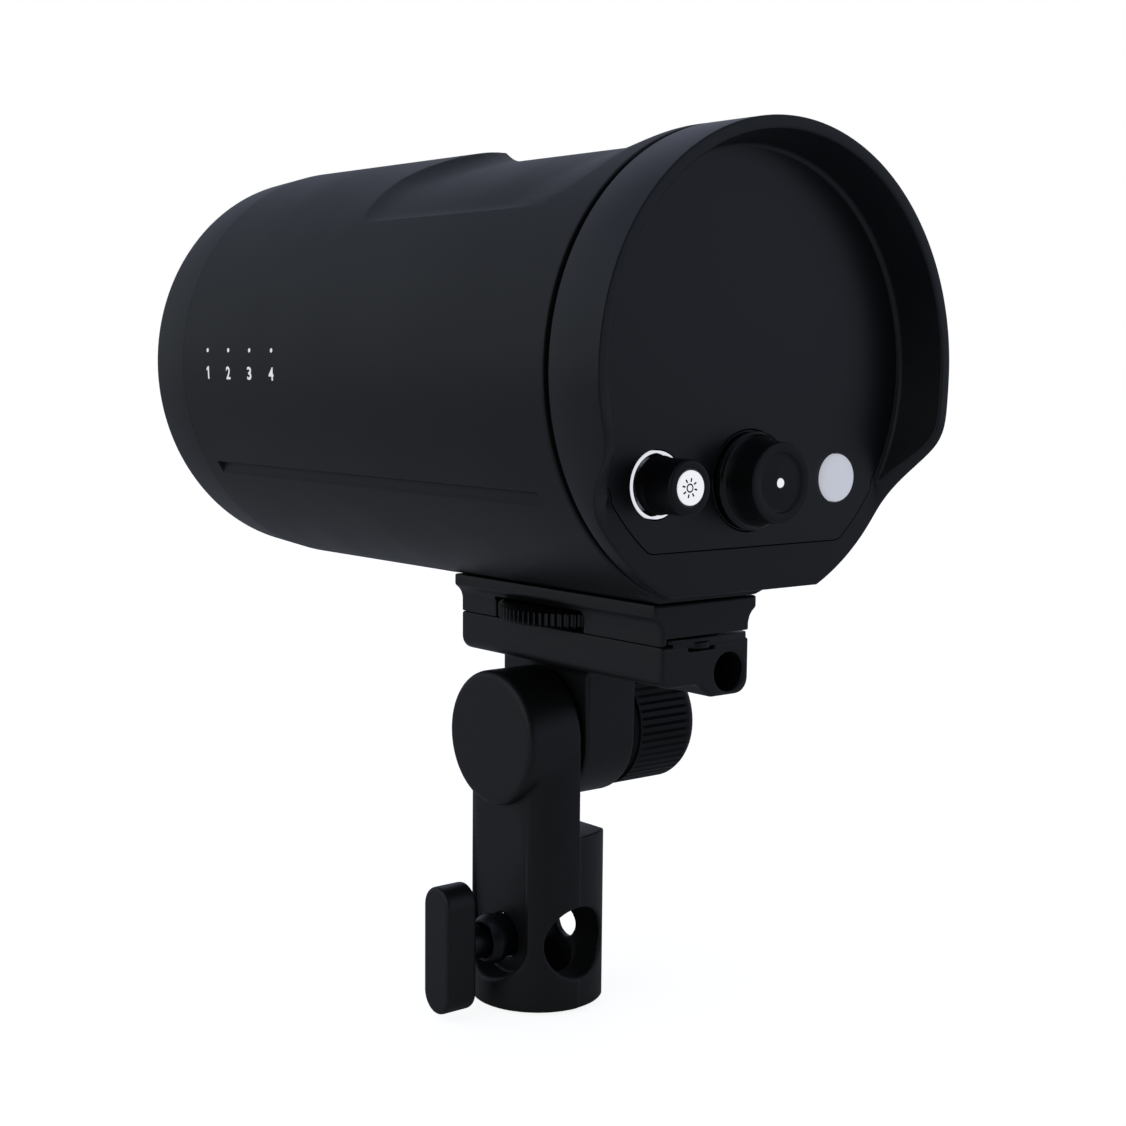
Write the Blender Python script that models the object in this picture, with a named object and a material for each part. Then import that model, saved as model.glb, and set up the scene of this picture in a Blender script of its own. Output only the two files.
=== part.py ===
# Battery monolight strobe with tilting stand adapter.
# Metres, +Z up. The strobe fires towards -Y (front) and its control panel faces +Y (rear).
# Lengths below are in millimetres, measured from the centre of the stand socket's
# lower face. The whole object is then set ORIGIN_Y further along +Y, so that the
# world origin stands under the middle of its bounding box.
# Angles round the head's axis are in degrees: 0 at +X, 90 at the top, 180 at -X.
import bpy
import bmesh
import math
from mathutils import Vector

UNIT = 0.001               # metres in a millimetre
ORIGIN_Y = 9.3             # socket axis in world Y
GAP = 0.3                  # clearance between separate pieces
LOOSE = 0.4                # clearance round parts that drop through a hole

# ---- driving dimensions; pairs are (low, high) along the named axis ----
BODY_R = 50.0              # casing radius
BODY_Z = 149.4             # height of the head's own axis
WALL = 2.4                 # casing wall
CASE_Y = (-84.6, 62.4)
RING_Y0 = -97.6            # front end of the bumper ring
REAR_Y = (63.8, 78.6)
GLASS_Y = 68.1             # outer face of the panel glass
CHIN_Y = 67.7              # flat below the glass
RIM_INNER_R, PANEL_R = 47.3, 45.5
CHIN_DROP = 45.3           # flat under the rear module, below the axis
CHIN_Z = BODY_Z - CHIN_DROP
FOOT_DROP = 48.0           # flat under the casing, below the axis
FOOT_Y = (-21.4, 56.6)
SLOT_X, SLOT_DROP = 42.2, 23.1   # wall of the lower side slots, and their top below the axis
SLOT_Y = (-74.6, 53.6)
BAY_ANGLES = (90.0, 196.0)       # battery window
BAY_Y = (-20.0, 54.4)
BAY_MIDDLE = sum(BAY_ANGLES) / 2
TILT_Z = 63.8
ARM_R, ARM_HEAD_R = 15.93, 15.8
ARM_STEP_Z = 41.1
ARM_TOP_Z = TILT_Z - 2.1
ARM_IN_X, ARM_OUT_X = 0.2, 15.0
SOCKET_R, SOCKET_TOP = 8.1, 37.0
CROSS_R, CROSS_Z = 8.5, 15.9
LUG_R, LUG_X = 16.0, (-16.3, -1.3)
KNOB_R, KNOB_X = 15.3, (-38.8, -17.5)
PLATE_HALF, PLATE_Y = 12.8, (-13.9, 56.1)
PLATE_Z = (83.0, 92.0)
BLOCK_Z = (PLATE_Z[1] + GAP, 101.1)
FLANGE_HALF = 15.0
UMBRELLA_X, UMBRELLA_Z, UMBRELLA_R = -6.9, 85.1, 4.2
WHEEL_Y, WHEEL_R = 15.2, 19.2
WHEEL_Z = (92.6, 96.4)
DIAL_Z = 127.1
MAIN_DIAL_R, MAIN_FACE_Y = 8.2, 77.25
MODEL_X, MODEL_R, MODEL_FACE_Y = 25.6, 5.5, 77.8
TEST_X, TEST_Z, TEST_R = -26.0, 126.8, 5.3

# Axis lines: (direction, where the line crosses the plane of the other two axes)
HEAD_LINE = ("Y", (0, BODY_Z))
MAIN_LINE = ("Y", (0, DIAL_Z))
MODEL_LINE = ("Y", (MODEL_X, DIAL_Z))
TEST_LINE = ("Y", (TEST_X, TEST_Z))
WHEEL_LINE = ("Z", (0, WHEEL_Y))
TILT_LINE = ("X", (0, TILT_Z))
CLAMP_LINE = ("X", (0, CROSS_Z))
ARM_LINE = ("Z", (0, 0))

for old in list(bpy.data.objects):
    bpy.data.objects.remove(old, do_unlink=True)


# ---- materials ----
def material(name, colour, roughness, metallic=0.0):
    made = bpy.data.materials.new(name)
    made.use_nodes = True
    inputs = made.node_tree.nodes["Principled BSDF"].inputs
    inputs["Base Color"].default_value = (*colour, 1.0)
    inputs["Roughness"].default_value = roughness
    inputs["Metallic"].default_value = metallic
    return made


BLACK = material("casing_black", colour=(0.012, 0.013, 0.015), roughness=0.55)
HOOD = material("hood_black", colour=(0.013, 0.014, 0.018), roughness=0.5)
ANODISED = material("anodised_black", colour=(0.014, 0.015, 0.015), roughness=0.45, metallic=0.4)
RUBBER = material("soft_black", colour=(0.010, 0.010, 0.011), roughness=0.7)
PANEL_GLASS = material("panel_glass", colour=(0.012, 0.013, 0.017), roughness=0.25)
WHITE = material("white_plastic", colour=(0.75, 0.75, 0.78), roughness=0.4)
FROST = material("frosted_glass", colour=(0.80, 0.82, 0.80), roughness=0.5)
STEEL = material("steel", colour=(0.45, 0.45, 0.46), roughness=0.3, metallic=1.0)
DARK_STEEL = material("dark_steel", colour=(0.06, 0.06, 0.06), roughness=0.35, metallic=0.9)
BRASS = material("brass", colour=(0.60, 0.45, 0.20), roughness=0.35, metallic=1.0)
ALUMINIUM = material("aluminium", colour=(0.70, 0.71, 0.72), roughness=0.35, metallic=1.0)
CIRCUIT = material("circuit_green", colour=(0.02, 0.11, 0.05), roughness=0.5)
CERAMIC = material("ceramic", colour=(0.75, 0.73, 0.68), roughness=0.6)
QUARTZ = material("quartz", colour=(0.75, 0.80, 0.82), roughness=0.1)
SLEEVE = material("cell_sleeve", colour=(0.05, 0.12, 0.30), roughness=0.4)
GREY = material("grey_plastic", colour=(0.10, 0.10, 0.11), roughness=0.6)
PHOSPHOR = material("led_phosphor", colour=(0.80, 0.60, 0.10), roughness=0.5)

# ---- frames: one empty for each moving body, standing on its joint axis ----
FRAME_AT = {}              # frame name -> place in metres, before the origin shift
OFFSET = Vector((0, ORIGIN_Y * UNIT, 0))


def frame(name, place, parent=None):
    empty = bpy.data.objects.new(name, None)
    empty.empty_display_size = 0.01
    bpy.context.scene.collection.objects.link(empty)
    FRAME_AT[name] = Vector(place) * UNIT
    if parent:
        empty.parent = bpy.data.objects[parent]
        empty.location = FRAME_AT[name] - FRAME_AT[parent]
    else:
        empty.location = FRAME_AT[name] + OFFSET
    return name


STAND = frame("frame_stand", (0, 0, 0))
CLAMP = frame("frame_clamp_screw", (0, 0, CROSS_Z), STAND)
KNOB = frame("frame_tilt_knob", (0, 0, TILT_Z), STAND)
HEAD = frame("frame_head", (0, 0, TILT_Z), STAND)
WHEEL = frame("frame_thumbwheel", (0, WHEEL_Y, 0), HEAD)
FAN = frame("frame_fan", (0, -36, BODY_Z), HEAD)
MAIN = frame("frame_main_dial", (0, GLASS_Y, DIAL_Z), HEAD)
MODEL = frame("frame_model_dial", (MODEL_X, GLASS_Y, DIAL_Z), HEAD)
TEST = frame("frame_test_button", (TEST_X, GLASS_Y, TEST_Z), HEAD)
PACK = frame("frame_battery", (0, 0, BODY_Z), HEAD)

# ---- shape helpers: each solid is a closed bmesh in millimetres ----
# Each takes a section's two coordinates and the distance along the axis.
AXES = {
    "X": lambda first, second, along: (along, first, second),   # section (y, z)
    "Y": lambda first, second, along: (first, along, second),   # section (x, z)
    "Z": lambda first, second, along: (first, second, along),   # section (x, y)
}


def around(middle, half):
    return middle - half, middle + half


def from_axis(low, high):
    """A Z span given from the head's axis."""
    return BODY_Z + low, BODY_Z + high


def polar(radius, radians, centre=(0, 0)):
    return (centre[0] + radius * math.cos(radians), centre[1] + radius * math.sin(radians))


def arc(radius, start, stop, steps, centre):
    """Points along an arc between two angles in degrees."""
    return [polar(radius, math.radians(start + (stop - start) * k / steps), centre)
            for k in range(steps + 1)]


def close(mesh):
    bmesh.ops.remove_doubles(mesh, verts=mesh.verts, dist=1e-5)
    bmesh.ops.recalc_face_normals(mesh, faces=mesh.faces)
    return mesh


def prism(section, axis, low, high):
    """A section pushed along an axis."""
    mesh = bmesh.new()
    place = AXES[axis]
    near, far = ([mesh.verts.new(place(*point, end)) for point in section]
                 for end in (low, high))
    mesh.faces.new(near)
    mesh.faces.new(far)
    for i in range(len(near)):
        j = (i + 1) % len(near)
        mesh.faces.new((near[i], near[j], far[j], far[i]))
    return close(mesh)


def box(x, y, z):
    return prism([(x[0], y[0]), (x[1], y[0]), (x[1], y[1]), (x[0], y[1])], "Z", *z)


def lathe(profile, line, segments, turn=0.0):
    """A closed (radius, along) profile turned about an axis line, first vertex at turn."""
    mesh = bmesh.new()
    axis, centre = line
    place = AXES[axis]
    rings = []
    for radius, along in profile:
        if radius < 1e-6:
            rings.append([mesh.verts.new(place(*centre, along))])
        else:
            rings.append([mesh.verts.new(place(
                *polar(radius, turn + 2 * math.pi * i / segments, centre), along))
                for i in range(segments)])
    for k, near in enumerate(rings):
        far = rings[(k + 1) % len(rings)]
        if len(near) == 1 and len(far) == 1:
            continue
        for i in range(segments):
            j = (i + 1) % segments
            if len(near) == 1:
                mesh.faces.new((near[0], far[j], far[i]))
            elif len(far) == 1:
                mesh.faces.new((near[i], near[j], far[0]))
            else:
                mesh.faces.new((near[i], near[j], far[j], far[i]))
    return close(mesh)


def cylinder(line, radius, low, high, segments, turn=0.0):
    return lathe([(0, low), (radius, low), (radius, high), (0, high)], line, segments, turn)


def tube(line, inner, outer, low, high, segments):
    return lathe([(inner, low), (outer, low), (outer, high), (inner, high)], line, segments)


def sweep(path, radius, segments):
    """A round rod along a list of points, with flat ends."""
    mesh = bmesh.new()
    rings = []
    for i, point in enumerate(path):
        ahead = Vector(path[min(i + 1, len(path) - 1)])
        heading = (ahead - Vector(path[max(i - 1, 0)])).normalized()
        side = heading.cross(Vector((0, 1, 0))).normalized()
        up = side.cross(heading)
        turns = [2 * math.pi * k / segments for k in range(segments)]
        rings.append([mesh.verts.new(
            Vector(point) + radius * (math.cos(turn) * side + math.sin(turn) * up))
            for turn in turns])
    mesh.faces.new(rings[0])
    mesh.faces.new(rings[-1])
    for near, far in zip(rings, rings[1:]):
        for k in range(segments):
            j = (k + 1) % segments
            mesh.faces.new((near[k], near[j], far[j], far[k]))
    return close(mesh)


def constant(radius):
    """A radius function for shell that is the same everywhere."""
    return lambda angle, y: radius


def shell(angles, stations, outer, inner, filled=lambda angle, y: True, wrap=False):
    """A wall between two radius functions over an angle and Y grid round the
    head's axis. Cells that aren't filled are left open, with walls round them."""
    mesh = bmesh.new()
    columns = len(angles) if wrap else len(angles) - 1
    store = {}

    def vert(i, j, outside):
        i %= len(angles)
        key = (i, j, outside)
        if key not in store:
            angle, y = angles[i], stations[j]
            radius = (outer if outside else inner)(angle, y)
            x, z = polar(radius, math.radians(angle), (0, BODY_Z))
            store[key] = mesh.verts.new((x, y, z))
        return store[key]

    def cell(i, j):
        if j < 0 or j >= len(stations) - 1:
            return False
        if wrap:
            i %= columns
        elif i < 0 or i >= columns:
            return False
        start, stop = angles[i], angles[(i + 1) % len(angles)]
        if stop < start:
            stop += 360
        return filled((start + stop) / 2, (stations[j] + stations[j + 1]) / 2)

    for i in range(columns):
        for j in range(len(stations) - 1):
            if not cell(i, j):
                continue
            for outside in (True, False):
                mesh.faces.new((vert(i, j, outside), vert(i + 1, j, outside),
                                vert(i + 1, j + 1, outside), vert(i, j + 1, outside)))
            # neighbouring cell, then the two ends of the edge shared with it
            for other, start, stop in (((i, j - 1), (i, j), (i + 1, j)),
                                       ((i, j + 1), (i, j + 1), (i + 1, j + 1)),
                                       ((i - 1, j), (i, j), (i, j + 1)),
                                       ((i + 1, j), (i + 1, j), (i + 1, j + 1))):
                if not cell(*other):
                    mesh.faces.new((vert(*start, True), vert(*stop, True),
                                    vert(*stop, False), vert(*start, False)))
    bmesh.ops.triangulate(mesh, faces=mesh.faces)
    return close(mesh)


def toothed(centre, count, corners):
    """A ribbed outline; corners are (fraction of a pitch, radius)."""
    return [polar(radius, 2 * math.pi * (k + part) / count, centre)
            for k in range(count) for part, radius in corners]


def group(*parts):
    """Several separate shapes as one."""
    whole = bmesh.new()
    for part in parts:
        scratch = bpy.data.meshes.new("scratch")
        part.to_mesh(scratch)
        whole.from_mesh(scratch)
        part.free()
        bpy.data.meshes.remove(scratch)
    return whole


def link_mesh(name, mesh, origin):
    for vertex in mesh.verts:
        vertex.co = vertex.co * UNIT - origin
    data = bpy.data.meshes.new(name)
    mesh.to_mesh(data)
    mesh.free()
    made = bpy.data.objects.new(name, data)
    bpy.context.scene.collection.objects.link(made)
    return made


def piece(name, mesh, surface, parent, smooth=True):
    """One named object, its origin on its parent frame."""
    made = link_mesh(name, mesh, FRAME_AT[parent])
    made.data.materials.append(surface)
    if smooth:
        made.data.shade_smooth()
        made.data.set_sharp_from_angle(angle=math.radians(35))
    made.parent = bpy.data.objects[parent]
    return made


def combine(target, mesh, operation, tag):
    """A hidden shape that cuts or joins a piece."""
    helper = link_mesh(target.name + "_" + tag, mesh, Vector((0, 0, 0)))
    helper.hide_render = True
    helper.display_type = "WIRE"
    helper.location = OFFSET
    boolean = target.modifiers.new(tag, "BOOLEAN")
    boolean.operation = operation
    boolean.solver = "EXACT"
    boolean.object = helper


def cut(target, mesh, tag):
    combine(target, mesh, "DIFFERENCE", tag)


def add(target, mesh, tag):
    combine(target, mesh, "UNION", tag)


def ease(t):
    t = min(1.0, max(0.0, t))
    return t * t * (3 - 2 * t)


def interpolate(points, x):
    """Straight interpolation through (x, value) pairs."""
    if x <= points[0][0]:
        return points[0][1]
    for (x0, value0), (x1, value1) in zip(points, points[1:]):
        if x <= x1:
            return value0 + (value1 - value0) * (x - x0) / (x1 - x0)
    return points[-1][1]


# ---- the casing's outer surface ----
SCOOP_DEPTH = 3.2
SCOOP_ANGLES = (40, 106)
SCOOP_RISE = 38                  # degrees over which it reaches full depth
SCOOP_FADE = (91, 14)            # angle where it starts to fade, and over how much
SCOOP_FRONT_BLEND = 6.0          # length of the front slope
SCOOP_REAR_FADE = (46, 15)       # y where it starts to fade, and over how much
# (angle, y) along the scoop's front edge
SCOOP_FRONT = [(40, -18.4), (58, -19.2), (70, -13.4), (80, -9.4), (85, -2.4), (100, 8.6),
               (106, 14.0)]
# slot angles, below the horizontal: ledge edge, inner corner, lower edge
SLOT_EDGE = math.degrees(math.asin(SLOT_DROP / BODY_R))
SLOT_CORNER = math.degrees(math.atan2(SLOT_DROP, SLOT_X))
SLOT_LOWER = math.degrees(math.acos(SLOT_X / BODY_R))
# half angles of the flats underneath
FOOT_ANGLE = math.degrees(math.acos(FOOT_DROP / BODY_R))
CHIN_ANGLE = math.degrees(math.acos(CHIN_DROP / BODY_R))
TOLERANCE = 0.01
STEP_Y = 0.25                    # length of the step at the end of a flat or slot


def casing_radius(angle, y):
    angle = (angle + 180) % 360 - 180
    radius = BODY_R
    if SCOOP_ANGLES[0] < angle < SCOOP_ANGLES[1]:
        depth = SCOOP_DEPTH * min(1.0, (angle - SCOOP_ANGLES[0]) / SCOOP_RISE)
        depth *= 1 - ease((angle - SCOOP_FADE[0]) / SCOOP_FADE[1])
        front = ease((y - interpolate(SCOOP_FRONT, angle)) / SCOOP_FRONT_BLEND)
        depth *= front * (1 - ease((y - SCOOP_REAR_FADE[0]) / SCOOP_REAR_FADE[1]))
        radius -= depth
    from_bottom = abs(angle + 90)
    if FOOT_Y[0] - TOLERANCE <= y <= FOOT_Y[1] + TOLERANCE and from_bottom <= FOOT_ANGLE:
        radius = FOOT_DROP / math.cos(math.radians(angle + 90))
    if y > FOOT_Y[1] + TOLERANCE and from_bottom <= CHIN_ANGLE + TOLERANCE:
        radius = CHIN_DROP / math.cos(math.radians(angle + 90))
    side = -angle if angle > -90 else angle + 180
    if (SLOT_Y[0] - TOLERANCE <= y <= SLOT_Y[1] + TOLERANCE
            and SLOT_CORNER - TOLERANCE <= side <= SLOT_LOWER):
        radius = SLOT_X / math.cos(math.radians(side))
    return radius


casing_angles = {float(angle) for angle in range(0, 360, 10)} - {330.0, 210.0}
casing_angles |= {45.0, 55.0, 65.0, 75.0, 85.0, 95.0, 105.0, BAY_ANGLES[1]}
for slot_angle in (SLOT_EDGE, SLOT_CORNER, SLOT_LOWER):
    casing_angles |= {360 - slot_angle, 180 + slot_angle}
for flat_angle in (FOOT_ANGLE, CHIN_ANGLE):
    casing_angles |= {270 - flat_angle, 270 + flat_angle}
casing_stations = [
    CASE_Y[0], SLOT_Y[0] - STEP_Y, SLOT_Y[0], FOOT_Y[0] - STEP_Y, FOOT_Y[0], BAY_Y[0],
    -13.0, -6.0, 2.0, 10.0, 18.0, 46.0, 50.0, SLOT_Y[1], SLOT_Y[1] + STEP_Y, BAY_Y[1],
    FOOT_Y[1], FOOT_Y[1] + STEP_Y, CASE_Y[1]]


def outside_window(angle, y):
    return not (BAY_ANGLES[0] < angle < BAY_ANGLES[1] and BAY_Y[0] < y < BAY_Y[1])


# ============================ head: casing ============================
# Lathe profiles are (radius, along the axis), in all the sections below.
casing = piece("main_casing", shell(
    sorted(casing_angles), casing_stations, casing_radius,
    lambda angle, y: casing_radius(angle, y) - WALL, outside_window, wrap=True), BLACK, HEAD)
cut(casing, cylinder(WHEEL_LINE, 7.4, *from_axis(-52, -40), 20), "insert_hole")

# front ring, glass and reflector
piece("front_ring", lathe([
    (50.0, -84.9), (50.0, -86.0), (48.9, -95.8), (48.2, -97.2), (47.2, RING_Y0),
    (44.0, RING_Y0), (43.0, -96.7), (43.0, -94.2), (45.7, -94.2), (45.7, -79.6),
    (46.9, -79.6), (46.9, -84.9)], HEAD_LINE, 36), BLACK, HEAD)
piece("glass_gasket", tube(HEAD_LINE, 43.4, 45.3, -93.9, -92.9, 28), RUBBER, HEAD)
piece("front_glass", lathe([
    (0, -95.9), (20, -95.4), (36, -94.0), (42.4, -92.6), (45.3, -92.6), (45.3, -89.8),
    (0, -89.8)], HEAD_LINE, 28), FROST, HEAD)
BASE_HALF, BASE_Z = 9.0, (-31.0, -17.0)   # flash tube base; z from the head's axis


def base_hole(y, clearance):
    return box(around(0, BASE_HALF + clearance), y,
               from_axis(BASE_Z[0] - clearance, BASE_Z[1] + clearance))


reflector = piece("reflector", lathe([
    (45.2, -89.4), (45.2, -88.2), (43.6, -88.2), (36.0, -69.0), (13.0, -69.0),
    (13.0, -70.2), (35.2, -70.2), (42.8, -89.4)], HEAD_LINE, 28), ALUMINIUM, HEAD)
cut(reflector, base_hole((-75, -66), GAP), "base_slot")

# flash tube: an open ring with its gap at the bottom, on a ceramic base
FLASH_RING_R, FLASH_Y, FLASH_R = 24.0, -78.0, 3.0
FLASH_START, FLASH_SWEEP, FLASH_STEPS = 15.5, 329, 24    # degrees from the bottom
flash_angles = [math.radians(FLASH_START + FLASH_SWEEP * k / FLASH_STEPS)
                for k in range(FLASH_STEPS + 1)]
flash_path = [(FLASH_RING_R * math.sin(angle), FLASH_Y, BODY_Z - FLASH_RING_R * math.cos(angle))
              for angle in flash_angles]
piece("flash_tube", sweep(flash_path, FLASH_R, 8), QUARTZ, HEAD)
flash_base = piece("flash_tube_base", base_hole((-82.5, -62.9), 0), CERAMIC, HEAD, smooth=False)
for seat_x, tag in ((-7.6, "tube_seat_l"), (7.6, "tube_seat_r")):
    cut(flash_base, box(around(seat_x, 3.9), (-81.4, -74.6), from_axis(-28.2, -18.6)), tag)

# modelling light and its finned heatsink
piece("led_module", cylinder(HEAD_LINE, 11.0, -71.0, -69.2, 20), PHOSPHOR, HEAD)
piece("led_lens", lathe([
    (0, -80.0), (6.5, -78.6), (11.0, -75.0), (11.6, -71.4), (0, -71.4)],
    HEAD_LINE, 20), FROST, HEAD)
FIN_R, FIN_CORE_R, FIN_Y, FIN_PITCH, FIN_THICK, FINS = 23.5, 13.0, -61.5, 4.2, 1.6, 4
sink_profile = [(0, -68.9), (11.5, -68.9), (11.5, FIN_Y)]
for k in range(FINS):
    y = FIN_Y + FIN_PITCH * k
    sink_profile += [(FIN_R, y), (FIN_R, y + FIN_THICK), (FIN_CORE_R, y + FIN_THICK)]
    if k < FINS - 1:
        sink_profile.append((FIN_CORE_R, y + FIN_PITCH))
sink_profile.append((0, sink_profile[-1][1]))
piece("led_heatsink", lathe(sink_profile, HEAD_LINE, 14), ALUMINIUM, HEAD)
bulkhead = piece("front_bulkhead", tube(HEAD_LINE, 12.6, 45.2, -64.6, -62.6, 28), GREY, HEAD)
cut(bulkhead, base_hole((-70, -60), LOOSE), "base_pass")

# cooling fan behind the heatsink
FAN_HALF, FAN_Y = 28, (-42, -30)
fan_frame = piece("fan_frame", box(around(0, FAN_HALF), FAN_Y, around(BODY_Z, FAN_HALF)),
                  RUBBER, HEAD, smooth=False)
cut(fan_frame, cylinder(HEAD_LINE, 26.6, FAN_Y[0] - 1, FAN_Y[1] + 1, 28), "bore")
add(fan_frame, box(around(0, 27.5), (-31.6, -30.1), around(BODY_Z, 1.5)), "spoke_a")
add(fan_frame, cylinder(HEAD_LINE, 9.0, -32.6, -30.05, 16), "hub")
add(fan_frame, cylinder(HEAD_LINE, 1.4, -38.0, -31.0, 10), "pin")
rotor = piece("fan_rotor", lathe([
    (0, -41.2), (10, -41.2), (10, -33.2), (1.8, -33.2), (1.8, -38.6), (0, -38.6)],
    HEAD_LINE, 16), RUBBER, FAN)
BLADES, BLADE_X, BLADE_Y = 7, (9.0, 25.6), (-40.2, -34.2)
BLADE_SLOPE = 0.9          # rise per length along Y


def fan_blade(turn):
    blade = box(BLADE_X, BLADE_Y, around(0, 0.7))
    for vertex in blade.verts:
        vertex.co.z += (vertex.co.y - sum(BLADE_Y) / 2) * BLADE_SLOPE
        x, z = vertex.co.x, vertex.co.z
        vertex.co.x = x * math.cos(turn) - z * math.sin(turn)
        vertex.co.z = BODY_Z + x * math.sin(turn) + z * math.cos(turn)
    return blade


add(rotor, group(*(fan_blade(2 * math.pi * k / BLADES) for k in range(BLADES))), "blades")

# flash capacitors side by side, power board and charger
for x, name in ((17.0, "capacitor_right"), (-17.0, "capacitor_left")):
    piece(name, lathe([(0, -27), (13.8, -27), (15, -26), (15, 33), (14, 34), (0, 34)],
                      ("Y", (x, BODY_Z - 26.0)), 20), SLEEVE, HEAD)
piece("power_board", box((-15.5, 43.0), (-27, 45), from_axis(-9.0, -7.4)),
      CIRCUIT, HEAD, smooth=False)
piece("charger_transformer", box((12, 34), (-20, 4), from_axis(-7.1, 11)),
      GREY, HEAD, smooth=False)

# tripod insert: (radius, z from the head's axis)
INSERT = [(4.95, -47.8), (7.0, -47.8), (7.0, -45.2), (8.6, -45.2), (8.6, -43.2), (6.6, -43.2),
          (6.6, -39.2), (0, -39.2), (0, -40.6), (4.95, -40.6)]
piece("tripod_insert", lathe([(radius, BODY_Z + z) for radius, z in INSERT], WHEEL_LINE, 20),
      BRASS, HEAD)

# ============================ battery ============================
BAY_WALL = 1.8
BAY_WALL_ANGLE = 1.9       # the same wall at the bay's two sides, in degrees
PACK_ANGLE_GAP = 0.6       # degrees between pack and window


def spread(inset, step, start=BAY_ANGLES[0]):
    """Even angles across the window, inset at both ends and no wider than about step."""
    if start == BAY_ANGLES[0]:
        start += inset
    stop = BAY_ANGLES[1] - inset
    count = max(1, round((stop - start) / step))
    return [start + (stop - start) * k / count for k in range(count + 1)]


def inset_y(inset):
    return [BAY_Y[0] + inset, BAY_Y[1] - inset]


bay = piece("battery_bay", shell(
    spread(-BAY_WALL_ANGLE, 11), inset_y(-BAY_WALL),
    lambda angle, y: 43.8 if angle < 110 else 46.5, constant(21.3)), GREY, HEAD)
cut(bay, shell(spread(0, 10.6), inset_y(0), constant(60.0), constant(22.8)), "room")
cut(bay, box((-17.6, -8.4), (40.0, 52.0), from_axis(8.0, 24.0)), "contact_pass")
piece("battery_contacts", box((-16.9, -14.0), (41, 51), from_axis(10.8, 15.3)),
      BRASS, HEAD, smooth=False)

# pack case, following the casing's surface
pack_front, pack_rear = inset_y(LOOSE)
pack_stations = [pack_front, -12.0, -6.0, 2.0, 10.0, 18.0, 46.0, 50.0, pack_rear]
pack_angles = [BAY_ANGLES[0] + PACK_ANGLE_GAP, 95.0, 100.0, 105.0]
pack_angles += spread(PACK_ANGLE_GAP, 10.4, start=112.0)
pack = piece("battery_case", shell(pack_angles, pack_stations, casing_radius, constant(23.2)),
             BLACK, PACK)
cut(pack, shell(
    spread(2.6, 10), inset_y(1.8),
    lambda angle, y: min(casing_radius(angle, y) - 1.6, 45.6 if angle < 106 else 47.8),
    constant(20.0)), "cell_room")
cut(pack, box((-55.0, -40.0), (44.4, 50.4), around(BODY_Z, 6.2)), "latch_window")
piece("battery_base", shell(spread(4.2, 10), inset_y(2.2), constant(25.0), constant(23.5)),
      GREY, PACK)

# three cells side by side round the axis
CELL_PITCH = 33.6          # degrees
# (distance from the head's axis, y of the rear shoulder, y of the rear end)
CELLS = [(36.0, 51.6, 52.2), (36.6, 51.6, 52.2), (36.6, 42.0, 42.4)]
for k, (distance, shoulder, end) in enumerate(CELLS):
    cell_angle = math.radians(BAY_MIDDLE - CELL_PITCH + CELL_PITCH * k)
    piece(f"battery_cell_{k + 1}", lathe([
        (0, -18.0), (9.6, -18.0), (10.1, -17.4), (10.1, shoulder), (9.6, end), (0, end)],
        ("Y", polar(distance, cell_angle, (0, BODY_Z))), 16), SLEEVE, PACK)
piece("battery_latch", box((-49.6, -44.4), (44.8, 50.0), around(BODY_Z, 5.8)),
      RUBBER, PACK, smooth=False)

# ============================ head: rear module ============================
rear = piece("rear_housing", cylinder(HEAD_LINE, BODY_R, REAR_Y[0], REAR_Y[1] + 1.0, 48),
             HOOD, HEAD)
cut(rear, lathe([
    (0, CHIN_Y), (PANEL_R, CHIN_Y), (RIM_INNER_R, REAR_Y[1]), (RIM_INNER_R, REAR_Y[1] + 4),
    (0, REAR_Y[1] + 4)], HEAD_LINE, 48), "hood_room")
# The rim's rear edge seen from the side: full depth above, falling to the chin.
# (z from the head's axis, y from the housing's rear end)
RIM_EDGE = [(2.0, 0), (-3.0, 0), (-9.0, 0.4), (-11.8, 0.4), (-13.6, 0.2), (-16.1, -0.9),
            (-18.9, -3.7), (-21.6, -6.4), (-24.1, -8.3), (-26.6, -9.9)]
rim_section = [(REAR_Y[1] + y, BODY_Z + z) for z, y in RIM_EDGE]
rim_section += [(CHIN_Y - 0.1, BODY_Z - 29.3), (CHIN_Y - 0.1, BODY_Z - 60.0),
                (95, BODY_Z - 60), (95, BODY_Z + 60), (REAR_Y[1], BODY_Z + 60)]
cut(rear, prism(rim_section, "X", -70, 70), "rim_edge")
cut(rear, box(around(0, 70), (50, 90), (BODY_Z - 70, CHIN_Z)), "chin_flat")

# (x, z from the head's axis) down the glass's lower corner at +X
GLASS_CORNER = [(37.2, -24.6), (36.4, -27.8), (34.4, -31.0), (31.0, -33.8), (26.9, -35.9)]


def glass_outline(grow):
    """A round top with a narrower chin, moved outwards by grow."""
    corner = [(x + grow * (0.9 if x > 30 else 0.3),
               BODY_Z + (z - grow * (0.9 if x < 36 else 0.3))) for x, z in GLASS_CORNER]
    return (arc(45.0 + grow, -29, 209, 32, (0, BODY_Z))
            + [(-x, z) for x, z in corner] + corner[::-1])


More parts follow.
